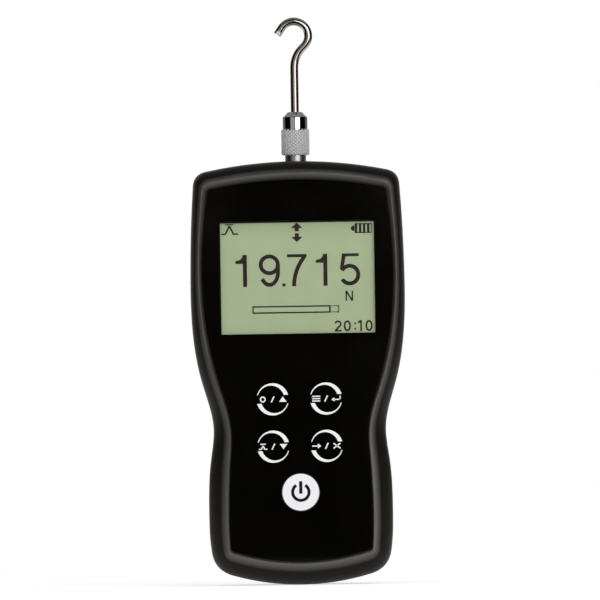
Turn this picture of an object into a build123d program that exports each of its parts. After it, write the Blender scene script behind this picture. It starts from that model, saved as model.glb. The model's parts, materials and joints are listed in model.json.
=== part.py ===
from build123d import *
import os
from math import cos, radians, sin, sqrt

# Handheld digital force gauge with a screw-on hook.
# Millimetres. In the drawing frame X runs across the case, heights (Z) are counted up from the
# lowest point of the case, and depths are counted forward from its flat back, so that a depth
# of 10 lies at Y = -10. The saved parts are lowered so that the origin is the middle of the
# stand mount on the back.

# Case outline, seen from the front
CASE_HEIGHT = 146.0
TOP_RADIUS = 153.0
BOTTOM_RADIUS = 84.0
CROWN_WIDTH = 70.6
SHOULDER_WIDTH = 73.8
SHOULDER_HEIGHT = 108.0
FLANK_WIDTH = 67.0
FLANK_HEIGHT = 70.2
WAIST_WIDTH = 59.4
WAIST_HEIGHT = 54.0
PALM_WIDTH = 61.8
PALM_HEIGHT = 42.5
GRIP_WIDTH = 63.4
GRIP_HEIGHT = 23.5
HEEL_WIDTH = 60.2
SIDE_SWELL = 1.6
CASE_CORNER = 4.2
HEEL_SOFTNESS = 1.5
CASE_HEEL_CORNER = CASE_CORNER * HEEL_SOFTNESS

# Case section
CASE_DEPTH = 36.0
WALL = 2.5
BACK_ROUNDING = 4.0
BACK_CORNER = 1.4
SEAM_CHAMFER = 0.35
ROLL_DEPTH = 8.0
ROLL_END_ANGLE = 72
ROLL_STEPS = 4
CREST_LAND = 0.3
CREST_CORNER = 2.6
CREST_HEEL_CORNER = 1.2

# How far the crest of the rim and the edge of the overlay lie inside the widest outline
CREST_INSET = {"top": 4.1, "crown": 2.9, "shoulder": 2.7, "flank": 4.6,
               "waist": 5.3, "palm": 6.2, "grip": 6.3, "heel": 5.2, "bottom": 7.0}
OVERLAY_INSET = {"top": 6.4, "crown": 4.9, "shoulder": 4.1, "flank": 6.0,
                 "waist": 6.3, "palm": 7.1, "grip": 7.2, "heel": 5.9, "bottom": 8.2}
OVERLAY_CORNER = 0.8
OVERLAY_THICKNESS = 1.0
OVERLAY_SINK = 1.2
OVERLAY_GAP = 0.15
FLOOR_THICKNESS = 2.0

# Display
DISPLAY_WIDTH = 53.6
DISPLAY_HEIGHT = 39.2
DISPLAY_CENTRE = 105.9
BEZEL_BORDER = 3.0
BEZEL_WALL = 1.0
BEZEL_LIP = 0.4
BEZEL_GAP = 0.2
GLASS_THICKNESS = 2.2
BACKLIGHT_THICKNESS = 4.6

# Main board
BOARD_THICKNESS = 1.6
BOARD_BOTTOM = 14.0
BOARD_BELOW_TOP = 9.0
BOARD_EDGE_GAP = 0.5
BOARD_POST_RADIUS = 2.6
BOARD_SCREW_RADIUS = 1.0
BOARD_SCREW_LENGTH = 4.0
BOARD_HEAD_RADIUS = 1.9
BOARD_HEAD_HEIGHT = 1.3
BOARD_POSTS = [(16.0, CASE_HEIGHT - 13.2), (22.0, 75.0), (18.0, 20.0)]

# Keys
KEY_RADIUS = 6.4
POWER_KEY_RADIUS = 6.6
KEY_SPREAD = 9.2
UPPER_KEY_HEIGHT = 64.0
LOWER_KEY_HEIGHT = 47.7
POWER_KEY_HEIGHT = 31.9
KEY_GAP = 0.12
KEY_FLANGE = 0.7
KEY_FLANGE_THICKNESS = 0.8
KEY_FLANGE_GAP = 0.25
KEY_STEM_RADIUS = 2.2
KEY_TRAVEL = 0.4
PLUNGER_RADIUS = 1.75
PLUNGER_GAP = 0.1
PLUNGER_PROTRUSION = 0.7
SWITCH_SIZE = 6.0
SWITCH_HEIGHT = 3.5
SWITCH_BASE = 1.0

# Screws that hold the two halves together; the lowest pair is hidden by the battery door
CASE_SCREWS = [(30.2, CASE_HEIGHT - 13.6), (27.3, 72.0), (17.0, 7.8)]
CASE_SCREW_RADIUS = 1.45
CASE_SCREW_HEAD_RADIUS = 2.6
CASE_SCREW_HEAD_HEIGHT = 1.8
CASE_SCREW_DRIVE_SPAN = 2.6
CASE_SCREW_DRIVE_WIDTH = 0.7
CASE_SCREW_DRIVE_DEPTH = 1.2
CASE_SCREW_SEAT = 8.0
CASE_SCREW_LENGTH = 19.0
CASE_SCREW_GAP = 0.15
REAR_BOSS_RADIUS = 3.9
FRONT_BOSS_RADIUS = 3.1

# Battery bay and its sliding door
CELL_RADIUS = 5.25
CELL_LENGTH = 43.7
CELL_NUB_RADIUS = 1.9
CELL_NUB_LENGTH = 0.8
CELL_COUNT = 4
CELL_GAP = 0.15
CONTACT_SPACE = 2.4
CONTACT_THICKNESS = 0.4
CONTACT_WIDTH = 7.0
BAY_BOTTOM = 13.0
BAY_WALL = 1.5
DOOR_THICKNESS = 2.0
DOOR_BORDER = 2.6
DOOR_GAP = 0.2
DOOR_LIP_DEPTH = 7.0
DOOR_LIP_THICKNESS = 2.2
DOOR_LIP_HEIGHT = 9.0
DOOR_LEDGE = 2.0
TONGUE_WIDTH = 1.0
TONGUE_THICKNESS = 0.8
TONGUE_DEPTH = 1.0
GRIP_GROOVE_COUNT = 5
GRIP_GROOVE_PITCH = 2.4
GRIP_GROOVE_WIDTH = 16.0
GRIP_GROOVE_RADIUS = 0.6

# Chassis and the stand mount on the back
MOUNT_BELOW_PLATE_TOP = 36.5
MOUNT_SPACING_X = 30.0
MOUNT_SPACING_Z = 50.0
MOUNT_HOLE_RADIUS = 2.0
STANDOFF_RADIUS = 4.0
STANDOFF_LENGTH = 4.5
SPIGOT_RADIUS = 2.7
PLATE_THICKNESS = 3.0
PLATE_WIDTH = 46.0
PLATE_BELOW_BRACKET = 5.0
PLATE_CORNER = 3.0
PLATE_SCREW_X = 19.0
PLATE_SCREW_RISE = 14.0
PLATE_SCREW_RADIUS = 1.3
PLATE_SCREW_LENGTH = 6.0
PLATE_BOSS_RADIUS = 3.2

# Load cell: an S-shaped beam between a foot bracket and the spindle
CELL_BLOCK_WIDTH = 34.0
CELL_BLOCK_HEIGHT = 42.0
CELL_BACK_GAP = 2.0
CELL_FRONT_GAP = 2.2
CELL_ARM = 10.0
CELL_SLOT = 1.6
CELL_SLOT_REACH = 10.0
CELL_EYE_RADIUS = 5.0
CELL_EYE_SPREAD = 5.5
BRACKET_THICKNESS = 7.0
BRACKET_WIDTH = 20.0
BOLT_RADIUS = 3.0
BOLT_HEAD_RADIUS = 5.0
BOLT_HEAD_HEIGHT = 5.0
BOLT_KEY_RADIUS = 2.9
BOLT_KEY_DEPTH = 2.5
BOLT_REACH = 8.0
BOLT_GAP = 0.2
CSK_RADIUS = 2.0
CSK_HEAD_RADIUS = 4.0
CSK_LENGTH = 9.0
BRACKET_SCREW_SPREAD = 6.0
STOP_SCREW_SPREAD = 9.5

# Overload stop: a block with a groove round the spindle's collar
STOP_HEIGHT = 9.9
STOP_BELOW_BUSH = 1.3
STOP_WIDTH = 25.0
STOP_COLLAR_THICKNESS = 2.0
STOP_COLLAR_RADIUS = 6.0
STOP_SIDE_GAP = 0.5
SPINDLE_TRAVEL = 0.25
STOP_GAP = 0.3

# Spindle, its bush and lock nut
SPINDLE_RADIUS = 3.65
SPINDLE_STUD_RADIUS = 3.0
SPINDLE_STUD_REACH = 9.0
SPINDLE_PROUD = 2.2
SPINDLE_THREAD_LENGTH = 7.3
NUT_ACROSS_FLATS = 10.0
NUT_THICKNESS = 3.2
NUT_ROOM = 1.4
BUSH_RADIUS = 5.4
BUSH_FLANGE_RADIUS = 7.4
BUSH_FLANGE_THICKNESS = 1.6
BUSH_SUNK = 0.4
BUSH_LENGTH = 5.8
BUSH_GAP = 0.05
BUSH_SEAT_RADIUS = 9.6
BUSH_SEAT_FLOOR = 1.8

# Ferrule that screws the hook to the spindle
FERRULE_RADIUS = 4.95
FERRULE_BAND = 9.1
NECK_RADIUS = 4.35
NECK_LENGTH = 5.8
NECK_CHAMFER = 1.75
BAND_CHAMFER = 0.5
COUNTERSINK_RADIUS = 2.1
COUNTERSINK_DEPTH = 0.6
THREAD_GAP = 0.05
WASHER_RADIUS = 2.85
WASHER_THICKNESS = 0.8
HOOK_NUT_RADIUS = 2.7
HOOK_NUT_THICKNESS = 2.6
HOOK_NUT_CLEARANCE = 0.3

# Hook
WIRE_RADIUS = 1.4
WIRE_GAP = 0.08
BOWL_RADIUS = 5.0
BOWL_LIFT = 26.3
BOWL_END_ANGLE = 146
SWAN_RADIUS = 9.4
SWAN_ANGLE = 45
TIP_LENGTH = 2.8
TIP_ROUNDING = 0.3

# Sockets on the left side of the case
SOCKET_AXIS_SET = 4.1
SOCKET_LENGTH = 12.0
SOCKET_SHOULDER = 1.5
SOCKET_NOSE_WALL = 1.2
SOCKET_NOSE_LENGTH = 2.6
SOCKET_NOSE_GAP = 0.2
SOCKET_FACE_SUNK = 0.5
DATA_HOLE_RADIUS = 1.8
DATA_SOCKET_HEIGHT = 107.0
POWER_HOLE_RADIUS = 2.8
POWER_PIN_RADIUS = 1.0
POWER_SOCKET_HEIGHT = 93.0
HOLE_LENGTH = 9.5

# Levels that follow from the sizes above
CREST = CASE_DEPTH
OVERLAY_FACE = CASE_DEPTH - OVERLAY_SINK
OVERLAY_SEAT = OVERLAY_FACE - OVERLAY_THICKNESS
FLOOR_BACK = OVERLAY_SEAT - FLOOR_THICKNESS
GLASS_STOP = OVERLAY_SEAT - BEZEL_GAP / 2
GLASS_FRONT = GLASS_STOP - BEZEL_LIP
GLASS_BACK = GLASS_FRONT - GLASS_THICKNESS
BACKLIGHT_BACK = GLASS_BACK - BACKLIGHT_THICKNESS
BOARD_FRONT = BACKLIGHT_BACK - BEZEL_GAP
BOARD_BACK = BOARD_FRONT - BOARD_THICKNESS
BOARD_TOP = CASE_HEIGHT - BOARD_BELOW_TOP
PLATE_BACK = STANDOFF_LENGTH
PLATE_FRONT = PLATE_BACK + PLATE_THICKNESS
CELL_BLOCK_THICKNESS = BOARD_BACK - CELL_FRONT_GAP - PLATE_FRONT - CELL_BACK_GAP
SPINDLE_DEPTH = PLATE_FRONT + CELL_BACK_GAP + CELL_BLOCK_THICKNESS / 2
PARTING_DEPTH = SPINDLE_DEPTH
STOP_TOP = CASE_HEIGHT - BUSH_SUNK - BUSH_LENGTH - STOP_BELOW_BUSH
STOP_BOTTOM = STOP_TOP - STOP_HEIGHT
STOP_COLLAR_HEIGHT = (STOP_BOTTOM + STOP_TOP - STOP_COLLAR_THICKNESS) / 2
CELL_TOP = STOP_BOTTOM - NUT_ROOM - NUT_THICKNESS
BRACKET_TOP = CELL_TOP - CELL_BLOCK_HEIGHT
BRACKET_HEIGHT = BRACKET_TOP - BRACKET_THICKNESS
PLATE_TOP = STOP_TOP
PLATE_BOTTOM = BRACKET_HEIGHT - PLATE_BELOW_BRACKET
MOUNT_HEIGHT = PLATE_TOP - MOUNT_BELOW_PLATE_TOP
PLATE_SCREWS = [(PLATE_SCREW_X, MOUNT_HEIGHT - PLATE_SCREW_RISE),
                (PLATE_SCREW_X, MOUNT_HEIGHT + PLATE_SCREW_RISE)]
SPINDLE_SHOULDER = CASE_HEIGHT + SPINDLE_PROUD
NECK_BOTTOM = SPINDLE_SHOULDER + FERRULE_BAND
FERRULE_TOP = NECK_BOTTOM + NECK_LENGTH
HOOK_NUT_BOTTOM = SPINDLE_SHOULDER + SPINDLE_THREAD_LENGTH + HOOK_NUT_CLEARANCE
WASHER_BOTTOM = HOOK_NUT_BOTTOM + HOOK_NUT_THICKNESS
WASHER_TOP = WASHER_BOTTOM + WASHER_THICKNESS
BOWL_HEIGHT = FERRULE_TOP + BOWL_LIFT
BAY_HALF_WIDTH = CELL_COUNT * (CELL_RADIUS + CELL_GAP)
BAY_TOP = BAY_BOTTOM + CELL_LENGTH + CELL_NUB_LENGTH + 2 * CONTACT_SPACE
BAY_FLOOR = DOOR_THICKNESS + DOOR_GAP + 2 * (CELL_RADIUS + CELL_GAP)
DOOR_HALF_WIDTH = BAY_HALF_WIDTH + DOOR_BORDER
DOOR_TOP = BAY_TOP + DOOR_BORDER
BEZEL_WIDTH = DISPLAY_WIDTH + 2 * BEZEL_BORDER
BEZEL_HEIGHT = DISPLAY_HEIGHT + 2 * BEZEL_BORDER
PLUNGER_FRONT = BOARD_FRONT + SWITCH_HEIGHT + PLUNGER_PROTRUSION
PLUNGER_BACK = BOARD_FRONT + SWITCH_BASE + KEY_TRAVEL + PLUNGER_GAP
CASE_SCREW_TIP = CASE_SCREW_SEAT + CASE_SCREW_LENGTH
SOCKET_AXIS_DEPTH = BOARD_BACK - SOCKET_AXIS_SET
SOCKETS = [(DATA_SOCKET_HEIGHT, DATA_HOLE_RADIUS), (POWER_SOCKET_HEIGHT, POWER_HOLE_RADIUS)]
KEYS = {"zero": (-KEY_SPREAD, UPPER_KEY_HEIGHT, KEY_RADIUS),
        "menu": (KEY_SPREAD, UPPER_KEY_HEIGHT, KEY_RADIUS),
        "peak": (-KEY_SPREAD, LOWER_KEY_HEIGHT, KEY_RADIUS),
        "send": (KEY_SPREAD, LOWER_KEY_HEIGHT, KEY_RADIUS),
        "power": (0.0, POWER_KEY_HEIGHT, POWER_KEY_RADIUS)}
SIDES = (-1, 1)
FIT_GAP = 0.1
SPINDLE_GAP = 0.08


# Drawing helpers

def slab(face, back, front):
    """A flat face drawn in the front view, thickened from one depth to another."""
    return extrude(Plane.XZ.offset(back) * face, front - back)


def post(x, height, radius, back, front):
    """A round post along the depth."""
    return slab(Pos(x, height) * Circle(radius), back, front)


def block(left, right, low, high, back, front):
    """A box between two X positions, two heights and two depths."""
    width, height, depth = right - left, high - low, front - back
    centre = Pos((left + right) / 2, -(back + front) / 2, (low + high) / 2)
    return centre * Box(width, depth, height)


def column(radius, low, high, x=0.0, depth=SPINDLE_DEPTH):
    """A round column that stands upright."""
    return Pos(x, -depth, (low + high) / 2) * Cylinder(radius, high - low)


def both_sides(points):
    """The given points and their mirror images on the left."""
    return [(side * x, height) for x, height in points for side in SIDES]


def even(inset):
    """The same inset all round."""
    return {place: inset for place in CREST_INSET}


def share(insets, part):
    """Every inset of a set, times the same part."""
    return {place: part * inset for place, inset in insets.items()}


def outline(insets, corner, heel_corner=None):
    """The case's outline, drawn inside its widest line by the given insets."""
    if heel_corner is None:
        heel_corner = corner * HEEL_SOFTNESS

    def half(width, place):
        return width / 2 - insets[place]

    top, bottom = CASE_HEIGHT - insets["top"], insets["bottom"]
    top_arc, bottom_arc = TOP_RADIUS - insets["top"], BOTTOM_RADIUS - insets["bottom"]
    crown, heel = half(CROWN_WIDTH, "crown"), half(HEEL_WIDTH, "heel")
    shoulder, grip = half(SHOULDER_WIDTH, "shoulder"), half(GRIP_WIDTH, "grip")

    arc_end = crown - corner
    fall = sqrt(top_arc ** 2 - arc_end ** 2)
    top_end = Vector(arc_end, top - top_arc + fall)
    top_corner = top_end + Vector(1, -arc_end / fall) * corner
    lean = SIDE_SWELL * (shoulder - crown) / (top_corner.Y - SHOULDER_HEIGHT)
    side_start = top_corner + Vector(lean, -1) * corner

    arc_end = heel - heel_corner
    rise = sqrt(bottom_arc ** 2 - arc_end ** 2)
    bottom_end = Vector(arc_end, bottom + bottom_arc - rise)
    bottom_corner = bottom_end + Vector(1, arc_end / rise) * heel_corner
    tuck = SIDE_SWELL * (grip - heel) / (GRIP_HEIGHT - bottom_corner.Y)
    side_end = bottom_corner + Vector(tuck, 1) * heel_corner

    side_points = [side_start, (shoulder, SHOULDER_HEIGHT), (half(FLANK_WIDTH, "flank"), FLANK_HEIGHT),
                   (half(WAIST_WIDTH, "waist"), WAIST_HEIGHT), (half(PALM_WIDTH, "palm"), PALM_HEIGHT),
                   (grip, GRIP_HEIGHT), side_end]
    right = [Bezier(top_end, top_corner, side_start),
             Spline(*side_points, tangents=[(lean, -1), (-tuck, -1)]),
             Bezier(side_end, bottom_corner, bottom_end)]
    left = [mirror(edge, Plane.YZ) for edge in right]
    top_edge = ThreePointArc((-top_end.X, top_end.Y), (0, top), top_end)
    bottom_edge = ThreePointArc((-bottom_end.X, bottom_end.Y), (0, bottom), bottom_end)
    return make_face([top_edge, bottom_edge] + right + left)


def half_width(height):
    """Half the case's width at a height."""
    strip = Pos(0, height) * Rectangle(2 * SHOULDER_WIDTH, SEAM_CHAMFER)
    return (outline(even(0), CASE_CORNER) & strip).bounding_box().max.X


def rolled_edge(start, reach, insets, end_corner, end_heel, end_angle):
    """The case's rounded edge: outlines that draw in along an ellipse as they leave the start depth."""
    end = radians(end_angle)
    sections = []
    for step in range(ROLL_STEPS + 1):
        angle = end * step / ROLL_STEPS
        inward = (1 - cos(angle)) / (1 - cos(end))
        corner = CASE_CORNER + (end_corner - CASE_CORNER) * inward
        heel_corner = CASE_HEEL_CORNER + (end_heel - CASE_HEEL_CORNER) * inward
        depth = start + reach * sin(angle) / sin(end)
        section = outline(share(insets, inward), corner, heel_corner)
        sections.append(Plane.XZ.offset(depth) * section)
    return loft(sections)


def seam_edge(start, reach):
    """The small chamfer where the two halves meet."""
    sections = [Plane.XZ.offset(start + reach) * outline(even(abs(reach)), CASE_CORNER),
                Plane.XZ.offset(start) * outline(even(0), CASE_CORNER)]
    return loft(sections, ruled=True)


def rounded_front():
    """The front half of the case as a solid, with the rolled rim that ends in a crest."""
    roll_start = CREST - ROLL_DEPTH
    seam_end = PARTING_DEPTH + SEAM_CHAMFER
    straight = slab(outline(even(0), CASE_CORNER), seam_end, roll_start)
    rim = rolled_edge(roll_start, ROLL_DEPTH, CREST_INSET, CREST_CORNER, CREST_HEEL_CORNER,
                      ROLL_END_ANGLE)
    return seam_edge(seam_end, -SEAM_CHAMFER) + straight + rim


def rounded_back():
    """The rear half of the case as a solid, with its rounded back edge."""
    seam_start = PARTING_DEPTH - SEAM_CHAMFER
    straight = slab(outline(even(0), CASE_CORNER), BACK_ROUNDING, seam_start)
    back = rolled_edge(BACK_ROUNDING, -BACK_ROUNDING, even(BACK_ROUNDING), BACK_CORNER,
                       BACK_CORNER * HEEL_SOFTNESS, 90)
    return seam_edge(seam_start, SEAM_CHAMFER) + straight + back


def inside(back, front):
    """The room inside the case walls between two depths."""
    return slab(outline(even(WALL), CASE_CORNER - WALL / 2), back, front)


def bush_form(grow):
    """The bush and its flange, without the bore, grown all round."""
    top = CASE_HEIGHT - BUSH_SUNK
    flange_top = CASE_HEIGHT - WALL
    body = column(BUSH_RADIUS + grow, top - BUSH_LENGTH - grow, top + grow)
    flange_bottom = flange_top - BUSH_FLANGE_THICKNESS
    return body + column(BUSH_FLANGE_RADIUS + grow, flange_bottom - grow, flange_top + grow)


def bush_room():
    """The hole for the bush, open through the top wall."""
    mouth = column(BUSH_RADIUS + BUSH_GAP, CASE_HEIGHT - WALL, CASE_HEIGHT + BUSH_SUNK)
    return bush_form(BUSH_GAP) + mouth


def bush_seat():
    """The boss under the top wall that traps the bush's flange."""
    bottom = CASE_HEIGHT - WALL - BUSH_FLANGE_THICKNESS - BUSH_SEAT_FLOOR
    return column(BUSH_SEAT_RADIUS, bottom, CASE_HEIGHT - WALL / 2)


# Case and front panel

def front_housing():
    """Moulded front half: rolled rim, sunk seat for the overlay, bosses, posts and openings."""
    shell = rounded_front() - inside(PARTING_DEPTH, FLOOR_BACK)
    recess = slab(outline(OVERLAY_INSET, OVERLAY_CORNER), OVERLAY_SEAT, OVERLAY_FACE)
    land = {place: inset + CREST_LAND for place, inset in CREST_INSET.items()}
    flare = loft([Plane.XZ.offset(OVERLAY_FACE) * outline(OVERLAY_INSET, OVERLAY_CORNER),
                  Plane.XZ.offset(CREST) * outline(land, CREST_CORNER, CREST_HEEL_CORNER)],
                 ruled=True)
    shell -= recess + flare
    room = inside(PARTING_DEPTH, FLOOR_BACK)
    for x, height in both_sides(CASE_SCREWS):
        shell += post(x, height, FRONT_BOSS_RADIUS, PARTING_DEPTH, FLOOR_BACK) & room
    for x, height in both_sides(BOARD_POSTS):
        shell += post(x, height, BOARD_POST_RADIUS, BOARD_FRONT, FLOOR_BACK)
    shell += bush_seat() & room
    shell -= bush_room()
    for x, height in both_sides(CASE_SCREWS):
        shell -= post(x, height, CASE_SCREW_RADIUS, PARTING_DEPTH, CASE_SCREW_TIP + CASE_SCREW_GAP)
    for x, height in both_sides(BOARD_POSTS):
        tip = BOARD_BACK + BOARD_SCREW_LENGTH
        shell -= post(x, height, BOARD_SCREW_RADIUS, BOARD_FRONT, tip + BEZEL_GAP)
    opening = Rectangle(BEZEL_WIDTH + 2 * BEZEL_GAP, BEZEL_HEIGHT + 2 * BEZEL_GAP)
    shell -= slab(Pos(0, DISPLAY_CENTRE) * opening, FLOOR_BACK, OVERLAY_SEAT)
    for x, height, radius in KEYS.values():
        hole = radius + KEY_FLANGE + KEY_FLANGE_GAP
        shell -= post(x, height, hole, FLOOR_BACK, OVERLAY_SEAT)
    for height, hole_radius in SOCKETS:
        shell -= socket_hole(height, hole_radius)
    return shell


def rear_housing():
    """Moulded rear half: battery bay, screw wells, stand-off holes and the door's slide-way."""
    shell = rounded_back() - inside(WALL, PARTING_DEPTH)
    room = slab(outline(even(WALL / 2), CASE_CORNER), WALL / 2, PARTING_DEPTH)
    bay_side = DOOR_HALF_WIDTH + TONGUE_WIDTH + DOOR_LEDGE
    bay = block(-bay_side, bay_side, 0, DOOR_TOP + DOOR_LEDGE,
                0, DOOR_THICKNESS + DOOR_GAP + DOOR_LEDGE)
    bay += block(-BAY_HALF_WIDTH - BAY_WALL, BAY_HALF_WIDTH + BAY_WALL, 0, BAY_TOP + BAY_WALL,
                 0, BAY_FLOOR + BAY_WALL)
    shell += bay & room
    for x, height in both_sides(CASE_SCREWS):
        shell += post(x, height, REAR_BOSS_RADIUS, WALL, PARTING_DEPTH) & room
    for x, height in both_sides(PLATE_SCREWS):
        shell += post(x, height, PLATE_BOSS_RADIUS, WALL, PLATE_BACK)
    shell += bush_seat() & room
    shell -= bush_room()
    shell -= door_form(DOOR_GAP)
    shell -= block(-BAY_HALF_WIDTH, BAY_HALF_WIDTH, BAY_BOTTOM, BAY_TOP, 0, BAY_FLOOR)
    for x, height in both_sides(CASE_SCREWS):
        well = CASE_SCREW_HEAD_RADIUS + CASE_SCREW_GAP
        shell -= post(x, height, well, 0, CASE_SCREW_SEAT)
        shell -= post(x, height, CASE_SCREW_RADIUS + CASE_SCREW_GAP, 0, PARTING_DEPTH)
    for x, height in mount_points():
        shell -= post(x, height, STANDOFF_RADIUS + DOOR_GAP / 2, 0, WALL)
    for x, height in both_sides(PLATE_SCREWS):
        tip = PLATE_FRONT - PLATE_SCREW_LENGTH
        shell -= post(x, height, PLATE_SCREW_RADIUS, tip, PLATE_BACK)
    return shell


def door_form(gap):
    """The battery door's shape: a flat plate, and a lip that wraps round the case's bottom."""
    side, top = DOOR_HALF_WIDTH + gap, DOOR_TOP + gap
    plate = block(-side, side, -1, top, 0, DOOR_THICKNESS + gap)
    rail = side + TONGUE_WIDTH
    tongue_back = TONGUE_DEPTH - gap / 2
    tongue_front = TONGUE_DEPTH + TONGUE_THICKNESS + gap / 2
    plate += block(-rail, rail, -1, top - DOOR_BORDER, tongue_back, tongue_front)
    thickness = even(DOOR_LIP_THICKNESS + gap)
    lip = block(-side, side, -1, DOOR_LIP_HEIGHT, 0, DOOR_LIP_DEPTH + gap)
    lip -= slab(outline(thickness, CASE_CORNER), 0, DOOR_LIP_DEPTH + gap)
    return rounded_back() & (plate + lip)


def battery_door():
    """Sliding battery door with tongues on both sides and grooves for the thumb."""
    door = door_form(0)
    middle = DOOR_TOP - DOOR_BORDER - GRIP_GROOVE_COUNT * GRIP_GROOVE_PITCH
    for count in range(GRIP_GROOVE_COUNT):
        groove = Rot(0, 90, 0) * Cylinder(GRIP_GROOVE_RADIUS, GRIP_GROOVE_WIDTH)
        door -= Pos(0, 0, middle + count * GRIP_GROOVE_PITCH) * groove
    return door


def front_overlay():
    """Glossy panel with its window opening and key holes."""
    insets = {place: inset + OVERLAY_GAP for place, inset in OVERLAY_INSET.items()}
    panel = slab(outline(insets, OVERLAY_CORNER), OVERLAY_SEAT, OVERLAY_FACE)
    panel -= display_window()
    for x, height, radius in KEYS.values():
        panel -= post(x, height, radius + KEY_GAP, OVERLAY_SEAT, OVERLAY_FACE)
    return panel


def display_window():
    """Clear pane, flush in the overlay."""
    pane = Rectangle(DISPLAY_WIDTH, DISPLAY_HEIGHT)
    return slab(Pos(0, DISPLAY_CENTRE) * pane, OVERLAY_SEAT, OVERLAY_FACE)


# Display

def lcd_bezel():
    """Pressed metal frame round the glass and the backlight, with a lip in front."""
    frame = slab(Pos(0, DISPLAY_CENTRE) * Rectangle(BEZEL_WIDTH, BEZEL_HEIGHT), BOARD_FRONT, GLASS_STOP)
    room = Rectangle(BEZEL_WIDTH - 2 * BEZEL_WALL, BEZEL_HEIGHT - 2 * BEZEL_WALL)
    frame -= slab(Pos(0, DISPLAY_CENTRE) * room, BOARD_FRONT, GLASS_FRONT)
    view = Rectangle(DISPLAY_WIDTH + BEZEL_BORDER / 2, DISPLAY_HEIGHT + BEZEL_BORDER / 2)
    return frame - slab(Pos(0, DISPLAY_CENTRE) * view, BOARD_FRONT, GLASS_STOP)


def display_sheet(back, front):
    """A sheet that fills the bezel between two depths."""
    gap = 2 * (BEZEL_WALL + BEZEL_GAP / 2)
    sheet = Rectangle(BEZEL_WIDTH - gap, BEZEL_HEIGHT - gap)
    return slab(Pos(0, DISPLAY_CENTRE) * sheet, back, front)


# Board, keys and sockets

def main_board():
    """Circuit board that follows the case, cut back round the screw bosses."""
    area = outline(even(WALL + BOARD_EDGE_GAP), CASE_CORNER - WALL / 2)
    area &= Pos(0, (BOARD_BOTTOM + BOARD_TOP) / 2) * Rectangle(SHOULDER_WIDTH, BOARD_TOP - BOARD_BOTTOM)
    board = slab(area, BOARD_BACK, BOARD_FRONT)
    for x, height in both_sides(CASE_SCREWS):
        board -= post(x, height, FRONT_BOSS_RADIUS + BOARD_EDGE_GAP, BOARD_BACK, BOARD_FRONT)
    for x, height in both_sides(BOARD_POSTS):
        board -= post(x, height, BOARD_SCREW_RADIUS + BEZEL_GAP / 2, BOARD_BACK, BOARD_FRONT)
    return board


def board_screws():
    """Pan-head screws that hold the board to the front housing's posts."""
    screws = []
    for x, height in both_sides(BOARD_POSTS):
        head = post(x, height, BOARD_HEAD_RADIUS, BOARD_BACK - BOARD_HEAD_HEIGHT, BOARD_BACK)
        tip = BOARD_BACK + BOARD_SCREW_LENGTH
        shank = post(x, height, BOARD_SCREW_RADIUS - BEZEL_GAP / 10, BOARD_BACK, tip)
        screws.append(head + shank)
    return screws


def key_cap(x, height, radius):
    """Key cap, flush with the overlay, with a flange behind it and a stem to its switch."""
    flange_back = OVERLAY_SEAT - KEY_FLANGE_THICKNESS
    cap = post(x, height, radius, flange_back, OVERLAY_FACE)
    cap += post(x, height, radius + KEY_FLANGE, flange_back, OVERLAY_SEAT)
    return cap + post(x, height, KEY_STEM_RADIUS, PLUNGER_FRONT, flange_back)


def key_plunger(x, height):
    """The switch's button, which the key's stem presses."""
    return post(x, height, PLUNGER_RADIUS, PLUNGER_BACK, PLUNGER_FRONT)


def tact_switches():
    """Five push switches on the board, each with a well for its plunger."""
    switches = []
    for x, height, _ in KEYS.values():
        body = slab(Pos(x, height) * Rectangle(SWITCH_SIZE, SWITCH_SIZE),
                    BOARD_FRONT, BOARD_FRONT + SWITCH_HEIGHT)
        well = post(x, height, PLUNGER_RADIUS + PLUNGER_GAP, BOARD_FRONT + SWITCH_BASE, PLUNGER_FRONT)
        switches.append(body - well)
    return switches


def nose_axis(x, height):
    """Where a round thing along a side socket's axis stands, at a distance left of the middle."""
    return Pos(-x, -SOCKET_AXIS_DEPTH, height) * Rot(0, 90, 0)


def socket_nose(height, hole_radius):
    """The round nose of a side socket, which fills its hole in the case's left wall."""
    middle = half_width(height) - SOCKET_FACE_SUNK - SOCKET_NOSE_LENGTH / 2
    return nose_axis(middle, height) * Cylinder(hole_radius + SOCKET_NOSE_WALL, SOCKET_NOSE_LENGTH)


def socket_hole(height, hole_radius):
    """The hole in the case's wall that a socket's nose fills, open to the outside."""
    radius = hole_radius + SOCKET_NOSE_WALL + SOCKET_NOSE_GAP
    outer = half_width(height) - SOCKET_FACE_SUNK
    return nose_axis(outer, height) * Cylinder(radius, 2 * SOCKET_NOSE_LENGTH)


def side_socket(height, hole_radius, pin_radius=0.0):
    """Socket on the board's back, with a round hole and maybe a centre pin."""
    half = hole_radius + SOCKET_NOSE_WALL + SOCKET_SHOULDER / 2
    face = half_width(height) - SOCKET_FACE_SUNK
    outer = face - SOCKET_NOSE_LENGTH
    body = block(-outer, -outer + SOCKET_LENGTH, height - half, height + half,
                 SOCKET_AXIS_DEPTH - half, BOARD_BACK)
    body += socket_nose(height, hole_radius)
    hole = Cylinder(hole_radius, HOLE_LENGTH)
    if pin_radius:
        hole -= Cylinder(pin_radius, HOLE_LENGTH)
    return body - nose_axis(face - HOLE_LENGTH / 2, height) * hole


# Case screws and batteries

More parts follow.
